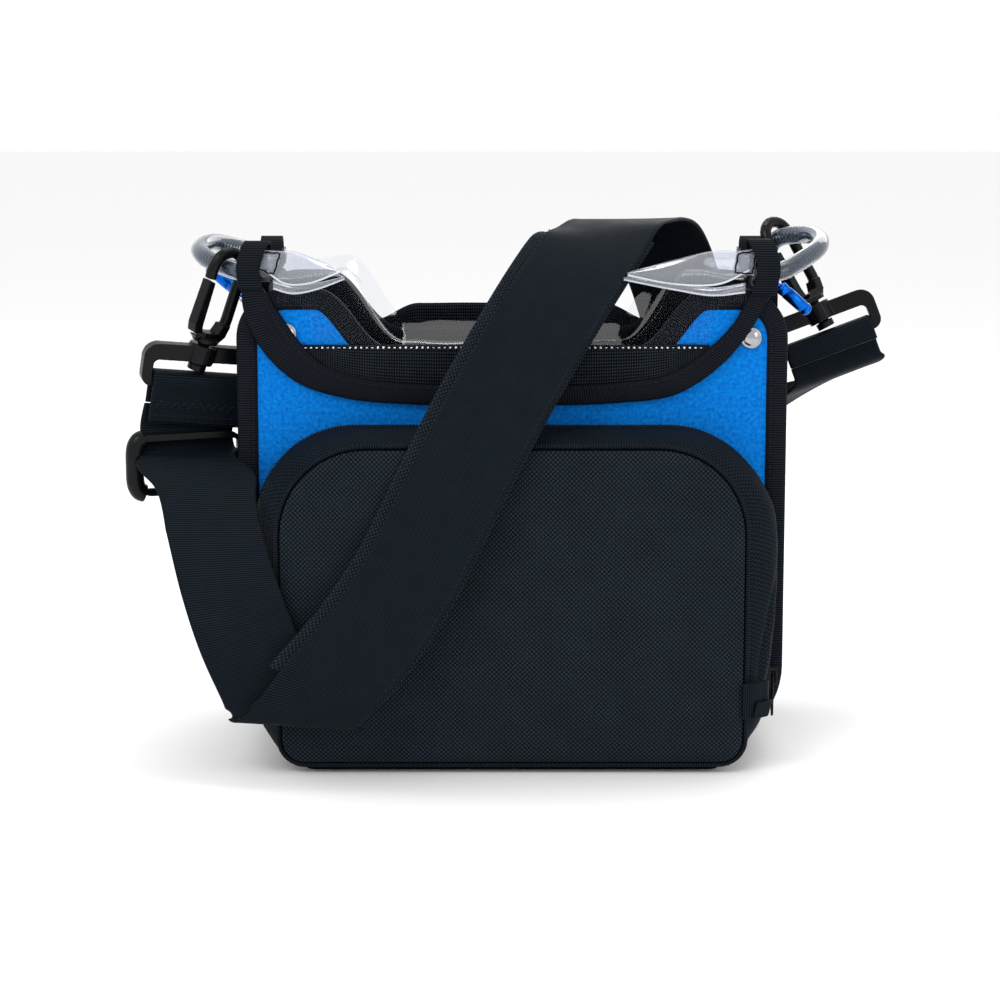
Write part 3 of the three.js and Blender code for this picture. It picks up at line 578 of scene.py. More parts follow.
def strap(name, stations, width, thickness, paint, steps, span=None, shift=(0, 0), wave=0.0, **keys):
    """A flat band through stations, each [centre, direction across it]."""
    middle = [Vector(c) for c, _ in stations]
    side = [m + Vector(w).normalized() * WEBBING_WIDTH for m, (_, w) in zip(middle, stations)]
    start, end = span or (0, len(stations) - 1)
    last = len(stations) - 1
    rings = []
    for i in range(steps + 1):
        t = (start + (end - start) * i / steps) / last
        centre = spline(middle, t)
        before, after = max(t - 1e-4, 0), min(t + 1e-4, 1)
        way = (spline(middle, after) - spline(middle, before)).normalized()
        across = (spline(side, t) - centre).normalized()
        up = way.cross(across)
        wide = 1 / max(0.75, up.length)
        up.normalize()
        centre = centre + across * shift[0] + up * shift[1]
        ring = []
        for w, n in strap_section(width, thickness):
            ripple = wave * noise.noise(centre * 0.03 + Vector((w * 0.02, 0, 3)))
            ring.append(centre + across * (w * wide) + up * (n + ripple))
        rings.append(ring)
    return sweep(name, rings, paint, **keys)


def strap_line(stations, span, across_by, lift, steps):
    """A line along a strap, across_by from its middle and lift off its face."""
    middle = [Vector(c) for c, _ in stations]
    side = [m + Vector(w).normalized() * WEBBING_WIDTH for m, (_, w) in zip(middle, stations)]
    last = len(stations) - 1
    found, faces = [], []
    for i in range(steps + 1):
        t = (span[0] + (span[1] - span[0]) * i / steps) / last
        centre = spline(middle, t)
        way = (spline(middle, min(t + 1e-4, 1)) - spline(middle, max(t - 1e-4, 0))).normalized()
        across = (spline(side, t) - centre).normalized()
        up = way.cross(across)
        wide = 1 / max(0.75, up.length)
        up.normalize()
        found.append(centre + across * across_by * wide + up * lift)
        faces.append(up)
    return found, faces[len(faces) // 2]


# Body of the bag

PANEL = panel_outline()
PANEL_CENTRE = (0, 118)


def body_panels():
    for side, sign in (("front", -1), ("rear", 1)):
        def outer(level, x, z, sign=sign):
            puff = 0.9 * (1 - level**6) + 0.25 * noise.noise(Vector((x, z, sign * 9)) * 0.05)
            return sign * (HALF_DEPTH - 0.2 + puff)

        def inner(level, x, z, sign=sign):
            return sign * (HALF_DEPTH - 5.5 + 0.2 * noise.noise(Vector((x, z, 4)) * 0.05))

        inset = [(x + nx * 9, z + nz * 9) for (x, z), (nx, nz) in zip(PANEL, inward(PANEL))]
        disc(f"{side}_felt_face", inset, PANEL_CENTRE, outer, BLUE, stands_for=[f"{side}_felt"])
        disc(f"{side}_lining", inset, PANEL_CENTRE, inner, LINING, stands_for=[f"{side}_panel"])
        stripe = [(18, sign * 49.3), (24.5, sign * 49.3), (24.5, sign * 48.7), (18, sign * 48.7)]
        # A stripe of the inner blue felt, painted darker as shade inside the bag.
        hoop(f"{side}_lining_stripe", PANEL, stripe, SHADED_FELT)
        f, b = HALF_DEPTH + 0.5, HALF_DEPTH - 6.6
        profile = [(11, f - 0.7), (10.7, f), (6, f + 0.15), (2, f), (0.6, f - 0.5), (0, f - 1.6)]
        profile += [(0, b + 1.6), (0.6, b + 0.4), (2, b), (10.7, b), (11, b + 0.8), (2, b + 1.3)]
        profile += [(1.3, f - 2), (2, f - 1.3)]
        ring = [(i, sign * y) for i, y in profile]
        hoop(f"{side}_edge_ribbon", PANEL, ring, BOUND, stands_for=[f"{side}_binding"])
        row = [(x + nx * 8.6, z + nz * 8.6) for (x, z), (nx, nz) in zip(PANEL, inward(PANEL))]
        line = [(x, sign * (f + 0.15), z) for x, z in row + row[:1]]
        stitches(f"{side}_edge_stitching", line, (0, sign, 0))


def side_band():
    """The bag's sides and floor: one band of cloth, drawn in at the sides and lined inside."""
    radius = CORNER - 1.5
    right = arc(HALF_WIDTH - 1.5 - radius, UNDERSIDE + 0.7 + radius, radius, -90, 0, 18)
    right += [(HALF_WIDTH - 1.5, z) for z in range(52, 217, 8)] + [(HALF_WIDTH - 1.5, 217)]
    flat = [(x, UNDERSIDE + 0.7) for x in (0, 18, 36, 54, 72, 88)]
    half = flat + right
    line = [(-x, z) for x, z in reversed(half[1:])] + half
    wall_y = HALF_DEPTH - 7.3
    rings = []
    for (x, z), (nx, nz) in zip(line, inward(line, closed=False)):
        recess = SIDE_RECESS * smooth((z - 34) / 60)
        ring = []
        for thick in (0, 3):
            row = []
            for k in range(17):
                t = k / 8 - 1
                pull = recess * (1 - t * t) + 0.5 * noise.noise(Vector((x, t * 40, z)) * 0.04)
                row.append((x + nx * (pull + thick), t * wall_y, z + nz * (pull + thick)))
            ring += row if thick == 0 else row[::-1]
        rings.append(ring)
    nodes = ["left_side_wall", "right_side_wall", "lower_gusset"]
    # The band's inner face is the blue felt painted darker: painted shade inside the bag.
    sweep("side_band", rings, [GUSSET, SHADED_FELT], choose=lambda j: 1 if 16 < j < 33 else 0, stands_for=nodes)
    for side, sign in (("left", -1), ("right", 1)):
        rings = []
        for k in range(41):
            t = k / 20 - 1
            x = HALF_WIDTH - 1.5 - SIDE_RECESS * (1 - t * t)
            shape = [(0.8, 214.5), (0.8, 220.4), (0, 221.8), (-1.5, 222.4), (-3, 221.8), (-3.8, 220.4),
                     (-3.8, 214.5)]
            rings.append([(sign * (x + dx), t * (wall_y - 0.4), z) for dx, z in shape])
        sweep(f"{side}_side_ribbon", rings, BOUND, stands_for=[f"{side}_side_binding"])


def rounded_slab(name, low, high, radius, paint, **keys):
    """A board with rounded corners in plan and soft edges."""
    x, y, depth = (high[0] - low[0]) / 2, (high[1] - low[1]) / 2, high[2] - low[2]
    plan = arc(x - radius, -y + radius, radius, -90, 0, 6) + arc(x - radius, y - radius, radius, 0, 90, 6)
    plan += [(-a, b) for a, b in reversed(plan)]
    middle = ((low[0] + high[0]) / 2, (low[1] + high[1]) / 2)
    rings = []
    for shrink, rise in ((40, 0), (0.7, 0), (0.15, 0.2), (0, 0.6), (0, depth - 0.6), (0.15, depth - 0.2),
                         (0.7, depth), (40, depth)):
        scale = 1 - shrink / max(x, y)
        rings.append([(middle[0] + a * scale, middle[1] + b * scale, low[2] + rise) for a, b in plan])
    piece = sweep(name, rings, paint, **keys)
    data = piece.data
    data.uv_layers.remove(data.uv_layers[0])
    box_unwrap(data)
    return piece


def node_box(node):
    low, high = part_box(node)
    return [c / MM for c in low], [c / MM for c in high]


# Front pocket

TAPE = rounded(POCKET_HALF - 0.8, 5.8, 177.2, 51, 29)
FACE = rounded(FACE_HALF - 0.2, 5.2, 171.8, 46, 13)


def pocket():
    def crown(level, x, z):
        swell = 3.4 * (1 - level**2.4) - 1.3 * max(0.0, level - 0.96) / 0.04
        return FACE_FRONT - swell - 0.35 * noise.noise(Vector((x, z, 2)) * 0.03)

    face_levels = (1, 0.994, 0.985, 0.97, 0.94, 0.9, 0.84, 0.76, 0.66, 0.54, 0.4, 0.25, 0.1)
    outline = rounded(FACE_HALF - 1.6, 6.6, 170.4, 44.6, 11.6)
    face = disc("pocket_front", outline, (0, 88), crown, CORDURA, levels=face_levels,
                stands_for=["pocket_face"])

    rings = []
    steps = 22
    normals = inward(FACE)
    for k in range(steps + 1):
        t = k / steps
        reach = sin(min(1.0, t * 1.15) * pi / 2) ** 0.9
        ring = []
        for i, ((fx, fz), (tx, tz), (nx, nz)) in enumerate(zip(FACE, TAPE, normals)):
            x, z = fx + (tx - fx) * reach, fz + (tz - fz) * reach
            arch = sin(pi * t)
            rumple = 1.1 * arch * noise.noise(Vector((x, z, t * 30)) * 0.06)
            swell, crease = 1.6 * arch, 0.0
            if x > 90:
                swell += (5.2 * exp(-(((z - 108) / 48) ** 2)) - 1.8 * smooth((60 - z) / 30)) * arch
                sits = 0.30 + 0.25 * (z - 50) / 60
                along = smooth((112 - z) / 30) * smooth((z - 36) / 25)
                crease = 3.0 * exp(-(((t - sits) / 0.08) ** 2)) * along
            out = swell + rumple - crease
            ring.append((x - nx * out, -94.6 + 27 * t, z - nz * out))
        rings.append(ring)
    sweep("pocket_side", rings, GUSSET, around=True, stands_for=["pocket_gusset"])
    cord = [(a * 1.25 - 0.5, -95.4 + b * 1.25) for a, b in arc(0, 0, 1, 0, 324, 9)]
    hoop("pocket_cord_edge", FACE, cord, BOUND, stands_for=["pocket_piping"])


def zip_parts():
    strips = {
        ("front_tape_cloth", "pocket_front_tape"): [(0, -68.2), (-0.5, -67.4), (-0.5, -64.6), (0, -63.9),
                                                    (2, -64), (2, -68)],
        ("rear_tape_cloth", "pocket_rear_tape"): [(0, -60.1), (-0.5, -59.6), (-0.5, -56.6), (0, -55.6),
                                                  (2, -55.8), (2, -60)],
        ("tape_underlay", "pocket_hem"): [(1.4, -64.2), (1.4, -59.8), (2.6, -59.8), (2.6, -64.2)],
    }
    for (name, node), profile in strips.items():
        hoop(name, TAPE, profile, BOUND, stands_for=[node], slot="black_cordura")
    dense = rounded(POCKET_HALF - 0.8, 5.8, 177.2, 51, 29, 4600)
    pitch = 9
    path = []
    for i, ((x, z), (nx, nz)) in enumerate(zip(dense, inward(dense))):
        if z < 24.5:
            continue
        turn = 2 * pi * i / pitch
        lift = 0.6 + 0.75 * sin(turn)
        path.append((x - nx * lift, ZIP_Y + 1.75 * cos(turn), z - nz * lift))
    split = max(range(1, len(path)), key=lambda i: (Vector(path[i]) - Vector(path[i - 1])).length)
    path = path[split:] + path[:split]
    tube("zip_coil_wire", path, 0.34, COIL, sides=5, stands_for=["pocket_zip_coil"])
    soften("zip_slider", PLASTIC, 0.3, 3)
    soften("zip_pull", PLASTIC, 0.22, 3)
    loop = [(119.4, -98.8), (124.5, -97.4), (129.5, -93.6), (132.6, -90.6), (132.4, -88.2), (128.6, -90),
            (122.5, -94.6)]
    turn = [[(x, y, 39), (0, 0, 1)] for x, y in loop]
    strap("pocket_grab_tab", turn, 19, 1.5, STRAP, 60, stands_for=["pocket_tab"])
    knot = [[(x + 1.2, y - 1.4, 34.5), (0.25, 0, 1)] for x, y in loop[1:5]]
    strap("pocket_tab_fold", knot, 8, 1.3, STRAP, 30)


# Clear cover

RIGHT_OUTER = [(0, 188), (56, 189.5), (86, 194), (111, 211), (125, 229), (133, 243), (138, 250)]
RIGHT_INNER = [(0, 199), (55, 200.5), (82, 205), (101, 217), (115, 231), (123, 245), (128, 250)]
LEFT_OUTER = [(0, 188), (-50, 188.6), (-85, 191.5), (-111, 199.5), (-127, 213), (-137, 229), (-140.5, 243),
              (-140.5, 250)]
LEFT_INNER = [(0, 199), (-52, 199.8), (-80, 203), (-98.5, 210), (-110.5, 221.5), (-120.5, 236), (-127, 246),
              (-129.5, 250)]


def smile(left, right, count=150):
    """An even curve from a left half outline to a right one, each listed from the middle outwards."""
    points = [Vector((x, 0, z)) for x, z in left[::-1] + right[1:]]
    line = [spline(points, i / 240) for i in range(241)]
    return spaced([(p.x, p.z) for p in line], count, closed=False)


def height_at(line, x):
    """A line's height at x, between its ends."""
    for (a, za), (b, zb) in zip(line, line[1:]):
        if a <= x <= b:
            return za + (zb - za) * (x - a) / (b - a)
    return line[0][1]


def cover():
    def mirror(half):
        return [(-x, z) for x, z in half]

    edges = {
        "front": (-1, smile(LEFT_OUTER, RIGHT_OUTER), smile(LEFT_INNER, RIGHT_INNER), -111.5),
        "rear": (1, smile(mirror(RIGHT_OUTER), RIGHT_OUTER), smile(mirror(RIGHT_INNER), RIGHT_INNER), -103),
    }
    for side, (sign, outer, inner, left_end) in edges.items():
        rings = []
        for i in range(85):
            x = left_end + (103 - left_end) * i / 84
            low = min(height_at(inner, x) - 1.5, 218.5)
            top = 220 + 0.5 * noise.noise(Vector((x * 0.03, sign, 0)))
            if side == "rear":
                top += 10 * (1 - smooth((abs(x) - 52) / 26))
            column = []
            for k in range(9):
                z = low + (top - low) * k / 8
                rumple = 0.35 * noise.noise(Vector((x, z, sign * 5)) * 0.06)
                y = 57.5 + 0.9 * sin(pi * k / 8) + rumple
                column.append((x, sign * y, z))
            rings.append(column + [(a, b - sign * 0.9, c) for a, b, c in reversed(column)])
        sweep(f"{side}_cover_cloth", rings, BAND, stands_for=[f"cover_{side}_band"])
        rings = []
        for (ox, oz), (ix, iz) in zip(outer, inner):
            ring = []
            for across, lift in ((0, 0.3), (0.04, 1.5), (0.12, 2.0), (0.5, 2.15), (0.88, 2.0), (0.96, 1.5),
                                 (1, 0.3), (0.5, 0.1)):
                ring.append((ox + (ix - ox) * across, sign * (57.3 + lift), oz + (iz - oz) * across))
            rings.append(ring)
        sweep(f"{side}_cover_ribbon", rings, BOUND, stands_for=[f"cover_{side}_binding"])
        row = [(o[0] * 0.2 + i[0] * 0.8, sign * 59.55, o[1] * 0.2 + i[1] * 0.8) for o, i in zip(outer, inner)]
        stitches(f"{side}_cover_stitching", row[4:-4], (0, sign, 0))
        # Beads of milky vinyl along the sewn edge stand for the needle holes' glints: painted highlights.
        edge = [(x, sign * 58.7, 218.6) for x in range(int(left_end) + 2, 102, 2)]
        stitches(f"{side}_needle_row_highlights", edge, (0, sign, 0), GLINT, pitch=2.9, length=1.3, radius=0.75,
                 uneven=0.8)
    window()
    corner_tabs()
    vinyl_folds()


def corner_tabs():
    """The vinyl's corners fold over beside the front keepers, each sewn with a square of dark thread."""
    squares = {
        "left": [(-131.6, 259.6), (-128.8, 268.2), (-120.4, 267.6), (-123.6, 256.8)],
        "right": [(115.4, 257.6), (117.2, 267.4), (126.4, 268.8), (124.6, 257.2)],
    }
    for side, square in squares.items():
        corners = [Vector((x, -58.6 + 0.2 * (z - 257), z)) for x, z in square]
        middle = sum(corners, Vector()) / 4
        rings = []
        for grow in (0.02, 0.3, 0.6, 0.85, 1.0, 1.12, 1.2):
            ring = []
            for a, b in zip(corners, corners[1:] + corners[:1]):
                for k in range(8):
                    p = middle + (a.lerp(b, k / 8) - middle) * grow
                    ring.append((p.x, p.y + 0.9 + 1.2 * max(0.0, grow - 0.85) - 0.5 * (1 - grow), p.z))
            rings.append(ring)
        skin = [(x, y + 0.6, z) for x, y, z in rings[-1]]
        sweep(f"{side}_vinyl_tab", rings + [skin], FOLD)
        line = []
        for a, b in zip(corners, corners[1:] + corners[:1]):
            line += [a.lerp(b, k / 6) for k in range(6)]
        for i, p in enumerate(line):
            line[i] = p + Vector((sin(i * 2.1), 0, cos(i * 1.7))) * THREAD_WANDER
        tube(f"{side}_tab_square", line, 0.42, DARK_THREAD, closed=True)


def vinyl_folds():
    """Leaf-shaped folds where the vinyl is gathered at its front corners, each with a painted highlight along
    its lower edge.
    """
    leaves = {
        "left_upper": ([(-127, -57.6, 258), (-118, -58.2, 252), (-106, -58, 252), (-89, -56.5, 258)],
                       [(-127, -54, 267), (-116, -51, 268.5), (-102, -50, 264), (-88, -52, 258)]),
        "left_lower": ([(-124, -58.2, 249.5), (-114, -59, 247), (-102, -58.6, 249), (-87, -57, 254.4)],
                       [(-124, -57.6, 254), (-114, -58, 251.5), (-102, -57.6, 252.4), (-87, -56.6, 255.6)]),
        "right_upper": ([(123, -57.8, 259), (108, -58.4, 252), (86, -58, 251.5), (60, -56.5, 256)],
                        [(123, -54, 268), (106, -50.5, 268.5), (86, -50, 264), (60, -52, 257.4)]),
        "right_lower": ([(121, -58.2, 247.5), (104, -59, 246), (84, -58.6, 249), (58, -57, 254)],
                        [(121, -57.6, 252.4), (104, -58, 250), (84, -57.6, 252), (58, -56.6, 255.4)]),
    }
    for name, (lower, upper) in leaves.items():
        low_line = [Vector(p) for p in lower]
        high_line = [Vector(p) for p in upper]
        rings = []
        for i in range(41):
            t = i / 40
            a, b = spline(low_line, t), spline(high_line, t)
            ring = []
            for k in range(11):
                s = k / 10
                bulge = Vector((0, -1.6, 0.6)) * sin(pi * s)
                pleat = 0.5 * sin(9 * s + 5 * t)
                ring.append(a.lerp(b, s) + bulge + Vector((0, pleat * sin(pi * s), 0)))
            rings.append(ring + [p + Vector((0, 0.5, 0)) for p in reversed(ring)])
        sweep(f"{name}_fold", rings, FOLD)
        # The milky tube along each fold's lower edge is a painted highlight.
        tube(f"{name}_edge", [spline(low_line, i / 30) for i in range(31)], 0.55, GLINT)


def window():
    """The vinyl: high at both corners, sagging between them, with folds that run from the corners."""
    columns, rows = 150, 60
    rings = []
    for i in range(columns + 1):
        x = VINYL_HALF_WIDTH * (2 * i / columns - 1)
        top = 222 + 34 * smooth((abs(x) - 56) / 34)
        low = 214 + 28 * smooth((abs(x) - 96) / 16)
        sag = 17 * (1 - smooth((abs(x) - 55) / 30))
        half = [(56.5, low), (56.6, low + (top - low) * 0.75), (52, top - 0.4), (30, top + 1 - sag * 0.6)]
        points = [Vector((0, -y, z)) for y, z in half]
        points += [Vector((0, 0, top - 1.5 - sag))]
        points += [Vector((0, y, z)) for y, z in reversed(half)]
        ring = []
        for k in range(rows + 1):
            p = spline(points, k / rows)
            free = sin(pi * k / rows) ** 0.5 * smooth((VINYL_HALF_WIDTH - abs(x)) / 14)
            fold = 1.2 * sin((abs(x) * 0.55 + p.y * 0.35) * 0.22) * smooth((abs(x) - 30) / 25)
            wave = fold + 1.6 * noise.noise(Vector((x * 0.9, p.y, p.z)) * 0.035)
            out = Vector((0, p.y / 60, 1)).normalized() * wave * free
            ring.append((x, p.y + out.y, p.z + out.z))
        rings.append(ring)
    skin = sweep("cover_vinyl", rings, VINYL, around=False, outward=False, stands_for=["cover_window"])


# Corners, loops and rings


SLACK_KEEPERS = {
    "left": [(-135.5, -59.4, 249), (-137, -59.4, 261), (-133, -54.5, 272.5), (-131.5, -49.5, 272),
             (-132.5, -45.5, 262), (-133, -45.3, 254), (-133, -47, 246), (-133, -47, 236)],
    "right": [(130.5, -59.4, 246), (133, -59.4, 261), (129, -54.5, 273.5), (127.5, -49.5, 273),
              (131.5, -45.5, 262), (133, -45.3, 254), (133, -47, 246), (133, -47, 236)],
}
CLOSE_KEEPER = [(59.4, 250), (59.4, 259), (57.2, 264.6), (51.8, 267), (46.3, 264.6), (44.2, 259), (45.2, 253),
                (47, 246), (47, 236)]


def keepers():
    for side, sign in (("left", -1), ("right", 1)):
        stations = [[p, (1, 0, 0)] for p in SLACK_KEEPERS[side]]
        strap(f"front_{side}_loop_webbing", stations, 12, 1.7, BOUND, 60, stands_for=[f"front_{side}_keeper"],
              slot="webbing")
        stations = [[(sign * KEEPER_X, y, z), (1, 0, 0)] for y, z in CLOSE_KEEPER]
        strap(f"rear_{side}_loop_webbing", stations, 12, 1.7, BOUND, 48, stands_for=[f"rear_{side}_keeper"],
              slot="webbing")


def caps():
    for side, x, z in (("left", -118, 225.5), ("right", 124.5, 223.5)):
        profile = [(5.6, -0.2), (5.8, 0.3), (5.6, 1.0), (5.0, 1.3), (4.5, 1.1), (4.1, 1.3), (3.4, 1.9),
                   (2.4, 2.3), (1.2, 2.5), (0.05, 2.55)]
        lathe(f"{side}_snap_cap", profile, (x, -HALF_DEPTH - 0.8, z), (0, -1, 0), CHROME,
              stands_for=[f"{side}_cap"])


LEFT_LOOP = [(-125.5, -52.2, 257), (-134, -52.2, 257), (-141, -50.6, 257.4), (-148.6, -43.4, 258.8),
             (-162, -25, 262.5), (-167.5, 0, 265), (-163, 27, 266), (-151, 43.6, 262), (-141, 50.6, 258.5),
             (-134, 52.2, 257), (-125.5, 52.2, 257)]
RIGHT_LOOP = [(125.5, -52.2, 257), (134, -52.2, 257), (141, -50.6, 258), (151, -41, 262), (162, -22, 267),
              (165.5, 2, 270), (161, 27, 270.5), (147.6, 43.8, 267), (140.5, 51.4, 259.2), (134, 52.2, 257),
              (125.5, 52.2, 257)]


def side_loops():
    for side, route in (("left", LEFT_LOOP), ("right", RIGHT_LOOP)):
        points = [Vector(p) for p in route]
        path = [spline(points, i / 120) for i in range(121)]
        tube(f"{side}_clear_tube", path, TUBE_RADIUS - 0.25, TUBE, sides=24, stands_for=[f"{side}_loop_tube"])
        length = running(path, False)[-1]
        turns = length / SPRING_PITCH
        coil = []
        steps = int(turns * 10)
        side_way = Vector((0, 0, 1))
        for i in range(steps + 1):
            t = 0.004 + 0.992 * i / steps
            centre = spline(points, t)
            way = (spline(points, min(t + 1e-3, 1)) - spline(points, max(t - 1e-3, 0))).normalized()
            side_way = (side_way - way * side_way.dot(way)).normalized()
            turn = 2 * pi * turns * i / steps
            coil.append(centre + (side_way * cos(turn) + way.cross(side_way) * sin(turn)) * SPRING_RADIUS)
        tube(f"{side}_coil_spring", coil, 0.55, WIRE, sides=6, stands_for=[f"{side}_loop_core"])


def charms():
    places = {
        "left": ((-140, -24, 240), (-0.73, 0.42, 0.54), (0.6, 0.8, 0)),
        "right": ((137.5, -7, 251), (0.75, 0.1, -0.65), (0.5, 0.85, 0.2)),
    }
    for side, (centre, way, ring_way) in places.items():
        b = Vector(way).normalized()
        e = Vector(ring_way)
        e = (e - b * e.dot(b)).normalized()
        a = b.cross(e)
        c = Vector(centre)
        path = []
        for i in range(97):
            turn = 4 * pi * i / 96
            slide = 0.85 * (i / 96 - 0.5) * 1.2
            path.append(c + (b * cos(turn) + e * sin(turn)) * 5.2 + a * slide)
        tube(f"{side}_split_ring", path, 0.4, CHROME, sides=8, body=f"{side}_ring_body",
             stands_for=[f"{side}_ring"])
        end = c + b * 5.2
        profile = [(0.05, 3.5), (2.7, 3.5), (3.2, 3.8), (3.5, 4.4), (3.5, 7.2), (3.2, 7.5), (3.2, 8.1),
                   (3.5, 8.4), (3.5, 20.4), (3.2, 20.7), (3.2, 21.3), (3.5, 21.6), (3.5, 22.6), (3.1, 24),
                   (2.2, 25), (0.05, 25.6)]
        lathe(f"{side}_blue_barrel", profile, end, b, ANODISED, body=f"{side}_barrel_body",
              stands_for=[f"{side}_barrel"])
        turns = [2 * pi * k / 24 for k in range(24)]
        eye = [end + (b * cos(t) + e * sin(t)) * 2.1 for t in turns]
        tube(f"{side}_barrel_eye", eye, 0.75, ANODISED, closed=True, body=f"{side}_barrel_body")
        neck = [end + b * d for d in (2.4, 3, 3.8)]
        tube(f"{side}_barrel_neck", neck, 1.5, ANODISED, sides=16, body=f"{side}_barrel_body")
        soften(f"{side}_ring_loop", STRAP, 0.2, 3)


# Hooks and strap


def bar_axes(origin, up, along):
    o, u, s = Vector(origin), Vector(up).normalized(), Vector(along).normalized()
    n = (u - s * u.dot(s)).normalized()
    return o, s, n.cross(s).normalized(), n


LEFT_BAR = bar_axes((-164, -40, 213.5), (19.5, -4, 57), (0.93, 0.35, -0.11))
RIGHT_BAR = bar_axes((170.2, 37.4, 226.5), (-26.5, 7, 48), (61, 0, 23))


def on_bar(bar, along, out, up):
    o, s, t, n = bar
    return o + s * along + t * out + n * up


def wrap(bar, front_end, back_end):
    turn = [(-5.4, front_end), (-5.4, -22), (-5.1, -12.8), (-2.6, -11.5), (0, -11.2), (2.6, -11.5),
            (5.1, -12.8), (5.4, -22), (5.4, back_end)]
    return [[on_bar(bar, 0, out, up), bar[1]] for out, up in turn]


ADJUSTER = Vector((-171, -41, 155))
ADJUSTER_ACROSS = Vector((0.93, 0.35, 0)).normalized()
ADJUSTER_BACK = Vector((0, 0, 1)).cross(ADJUSTER_ACROSS)


def at_adjuster(back, up):
    return [ADJUSTER + ADJUSTER_BACK * back + Vector((0, 0, up)), ADJUSTER_ACROSS]


ROUTE = [
    [on_bar(LEFT_BAR, 0, 5.4, -31), LEFT_BAR[1]],
    at_adjuster(4.6, 17), at_adjuster(4.1, 11.7), at_adjuster(1, 7.8), at_adjuster(-3, 6.4),
    [(-170.6, -50, 160.5), (0.99, 0.14, 0)], [(-169, -61, 159.5), (0.99, -0.1, 0)],
    [(-160, -76, 149), (0.97, -0.2, 0)], [(-154, -88, 128), (0.97, -0.22, 0.04)],
    [(-146, -99, 101), (0.98, -0.14, 0.1)], [(-136, -106, 74), (0.97, 0, 0.2)],
    [(-125, -109, 51), (0.97, 0, 0.16)], [(-117, -110, 38), (0.99, 0, 0)],
    [(-111, -114.5, 31), (0.99, 0, -0.07)], [(-104, -119, 38), (0.99, -0.02, -0.15)],
    [(-94, -121, 51), (0.93, -0.1, -0.32)], [(-73, -119, 76), (0.88, -0.2, -0.41)],
    [(-52, -116, 108), (0.88, -0.22, -0.41)], [(-32, -110.5, 148), (0.88, -0.22, -0.42)],
    [(-11, -99, 188), (0.88, -0.18, -0.46)], [(13, -80, 228), (0.88, -0.12, -0.46)],
    [(31, -60, 255), (0.93, -0.06, -0.36)], [(43, -42, 271), (0.97, 0, -0.2)],
    [(51, -25, 278.5), (1, 0, 0)], [(59, -5, 280.5), (1, 0, 0)], [(68, 17, 278), (1, 0, 0.08)],
    [(78, 41, 269), (0.96, 0.05, 0.2)], [(88, 60, 252), (0.93, 0.05, 0.3)],
    [(97, 73, 226), (0.9, 0.05, 0.38)], [(105, 82, 200), (0.9, 0.05, 0.38)],
    [(113, 88, 178), (0.92, 0.1, 0.35)], [(124, 92, 163), (0.85, 0.15, 0.5)],
    [(139, 90, 160), (0.75, 0.2, 0.62)], [(155, 81, 168), (0.8, 0.2, 0.55)],
    [(168, 65, 180), (0.9, 0.1, 0.4)],
    [on_bar(RIGHT_BAR, -1, 8, -34), RIGHT_BAR[1]], [on_bar(RIGHT_BAR, 0, 5.4, -24.5), RIGHT_BAR[1]],
]


def hardware():
    for side in ("left", "right"):
        soften(f"{side}_hook", PLASTIC, 0.4, 4)
        soften(f"{side}_gate", PLASTIC, 0.3, 3)
        soften(f"{side}_strap_bar", PLASTIC, 0.45, 4)
    soften("strap_adjuster", PLASTIC, 0.4, 4)
    end = ((25, 14.5), (27.5, 13.5), (29.5, 10), (30, 0), (29.5, -10), (27.5, -13.5), (25, -14.5))
    front = ADJUSTER - ADJUSTER_BACK * 1.5
    bead = [front - ADJUSTER_ACROSS * along + Vector((0, 0, up)) for along, up in end]
    path = [spline(bead, i / 30) for i in range(31)]
    tube("adjuster_end_bead", path, 4.8, PLASTIC, sides=20)


def shoulder_strap():
    nodes = ["strap_hanging", "strap_diagonal", "strap_crossing", "strap_behind"]
    strap("shoulder_strap", ROUTE, WEBBING_WIDTH, WEBBING_THICKNESS, STRAP, 620, wave=0.7, stands_for=nodes)
    strap("strap_backing", ROUTE, 57, 1.8, CORDURA, 220, span=(15, 22.5), shift=(-2.5, 2.3),
          stands_for=["strap_pad"])
    for name, across in (("left_row", -24.6), ("outer_row", -29.2), ("right_row", 22.8)):
        lift = -1.05 if name != "outer_row" else 1.3
        line, face = strap_line(ROUTE, (15.1, 22.4), across, lift, 120)
        stitches(f"strap_{name}_stitching", line, face * (1 if lift > 0 else -1), slot="webbing")
    for side, bar, ends in (("left", LEFT_BAR, (-38, -30)), ("right", RIGHT_BAR, (-24, -24))):
        strap(f"{side}_bar_webbing", wrap(bar, *ends), WEBBING_WIDTH, 1.8, STRAP, 90,
              stands_for=[f"{side}_tab"])
    zigzag = [on_bar(LEFT_BAR, -22 + 2.2 * i, -6.4, -27.5 + (1.6 if i % 2 else -1.6)) for i in range(21)]
    stitches("left_tab_zigzag", zigzag, -LEFT_BAR[2], pitch=2.72, length=2.4, radius=0.4, slot="webbing")
    for row in (-33.6, -36.4):
        line = [on_bar(LEFT_BAR, along, -6.4, row) for along in range(-23, 24, 2)]
        stitches(f"left_tab_row{int(-row)}", line, -LEFT_BAR[2], slot="webbing")


def rails():
    for side, sign in (("left", -1), ("right", 1)):
        path = [(133, -44, 245), (130, -30, 241.5), (128, 0, 240), (130, 30, 241.5), (133, 44, 245)]
        stations = [[(sign * x, y, z), (0.35 * sign, 0, 1)] for x, y, z in path]
        strap(f"{side}_rail_webbing", stations, 12, 1.4, STRAP, 50, stands_for=[f"{side}_side_rail"])


# Camera and light


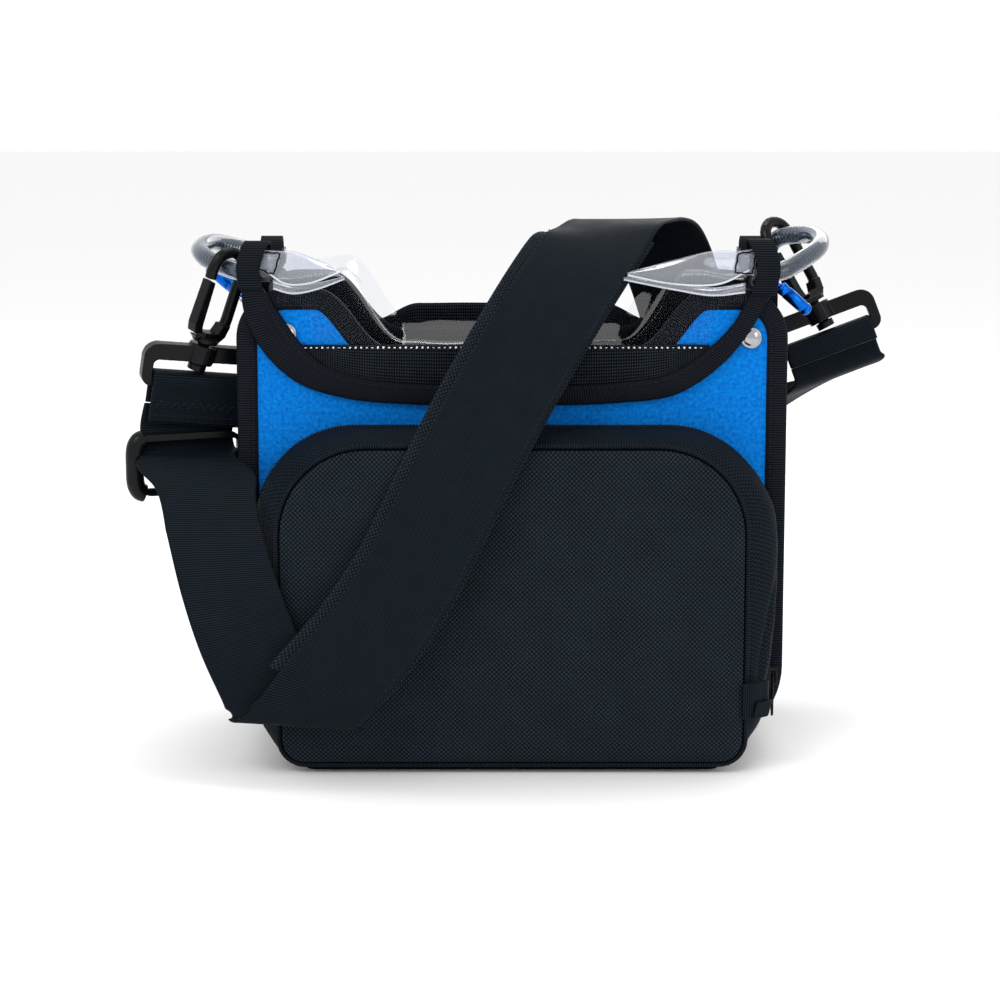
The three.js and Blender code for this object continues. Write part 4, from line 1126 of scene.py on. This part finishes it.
def camera():
    data = bpy.data.cameras.new("camera")
    data.sensor_width = 36
    data.lens = 102.5
    made = bpy.data.objects.new("camera", data)
    bpy.context.scene.collection.objects.link(made)
    target, distance, elevation = Vector((-0.0063, -0.055, 0.1375)), 1.5, radians(10)
    made.location = target + Vector((0, -cos(elevation), sin(elevation))) * distance
    made.rotation_euler = (target - made.location).to_track_quat("-Z", "Y").to_euler()
    bpy.context.scene.camera = made


def lamp(name, place, target, size, power, color=(1, 1, 1)):
    data = bpy.data.lights.new(name, "AREA")
    data.shape = "RECTANGLE"
    data.size, data.size_y = size
    data.energy = power
    data.color = color
    made = bpy.data.objects.new(name, data)
    made.location = place
    made.rotation_euler = (Vector(target) - Vector(place)).to_track_quat("-Z", "Y").to_euler()
    bpy.context.scene.collection.objects.link(made)


def studio():
    world = bpy.data.worlds.new("studio")
    bpy.context.scene.world = world
    world.use_nodes = True
    world.node_tree.nodes["Background"].inputs["Color"].default_value = (1, 1, 1, 1)
    world.node_tree.nodes["Background"].inputs["Strength"].default_value = 1.0
    bpy.context.scene.view_settings.view_transform = "Standard"
    lamp("key", (-0.9, -1.3, 1.5), (0, 0, 0.12), (0.9, 0.6), 11)
    lamp("fill", (1.2, -1.0, 0.7), (0, 0, 0.12), (0.7, 0.9), 4)
    lamp("top", (0.1, 0.2, 1.4), (0, 0, 0.15), (1.0, 0.5), 6)
    lamp("back", (0.5, 1.3, 0.8), (0, 0, 0.15), (0.9, 0.6), 4)
    paint = Paint("pale_floor", (0.93, 0.93, 0.93), 0.7)
    paint.bump(paint.noise(paint.place(), 40, 3), 0.0002, 0.2)
    data = bpy.data.meshes.new("floor")
    data.from_pydata([(-6, -6, 0), (6, -6, 0), (6, 6, 0), (-6, 6, 0)], [], [(0, 1, 2, 3)])
    data.materials.append(paint.material)
    floor = bpy.data.objects.new("floor", data)
    bpy.context.scene.collection.objects.link(floor)


camera()
studio()
body_panels()
side_band()
# The floor pad inside the bag is the blue felt painted darker: painted shade.
rounded_slab("floor_pad", *node_box("floor_board"), 8, SHADED_FELT, stands_for=["floor_board"])
rounded_slab("base_strip", *node_box("base_skid"), 5, STRAP, stands_for=["base_skid"])
pocket()
zip_parts()
cover()
keepers()
caps()
side_loops()
charms()
hardware()
shoulder_strap()
rails()
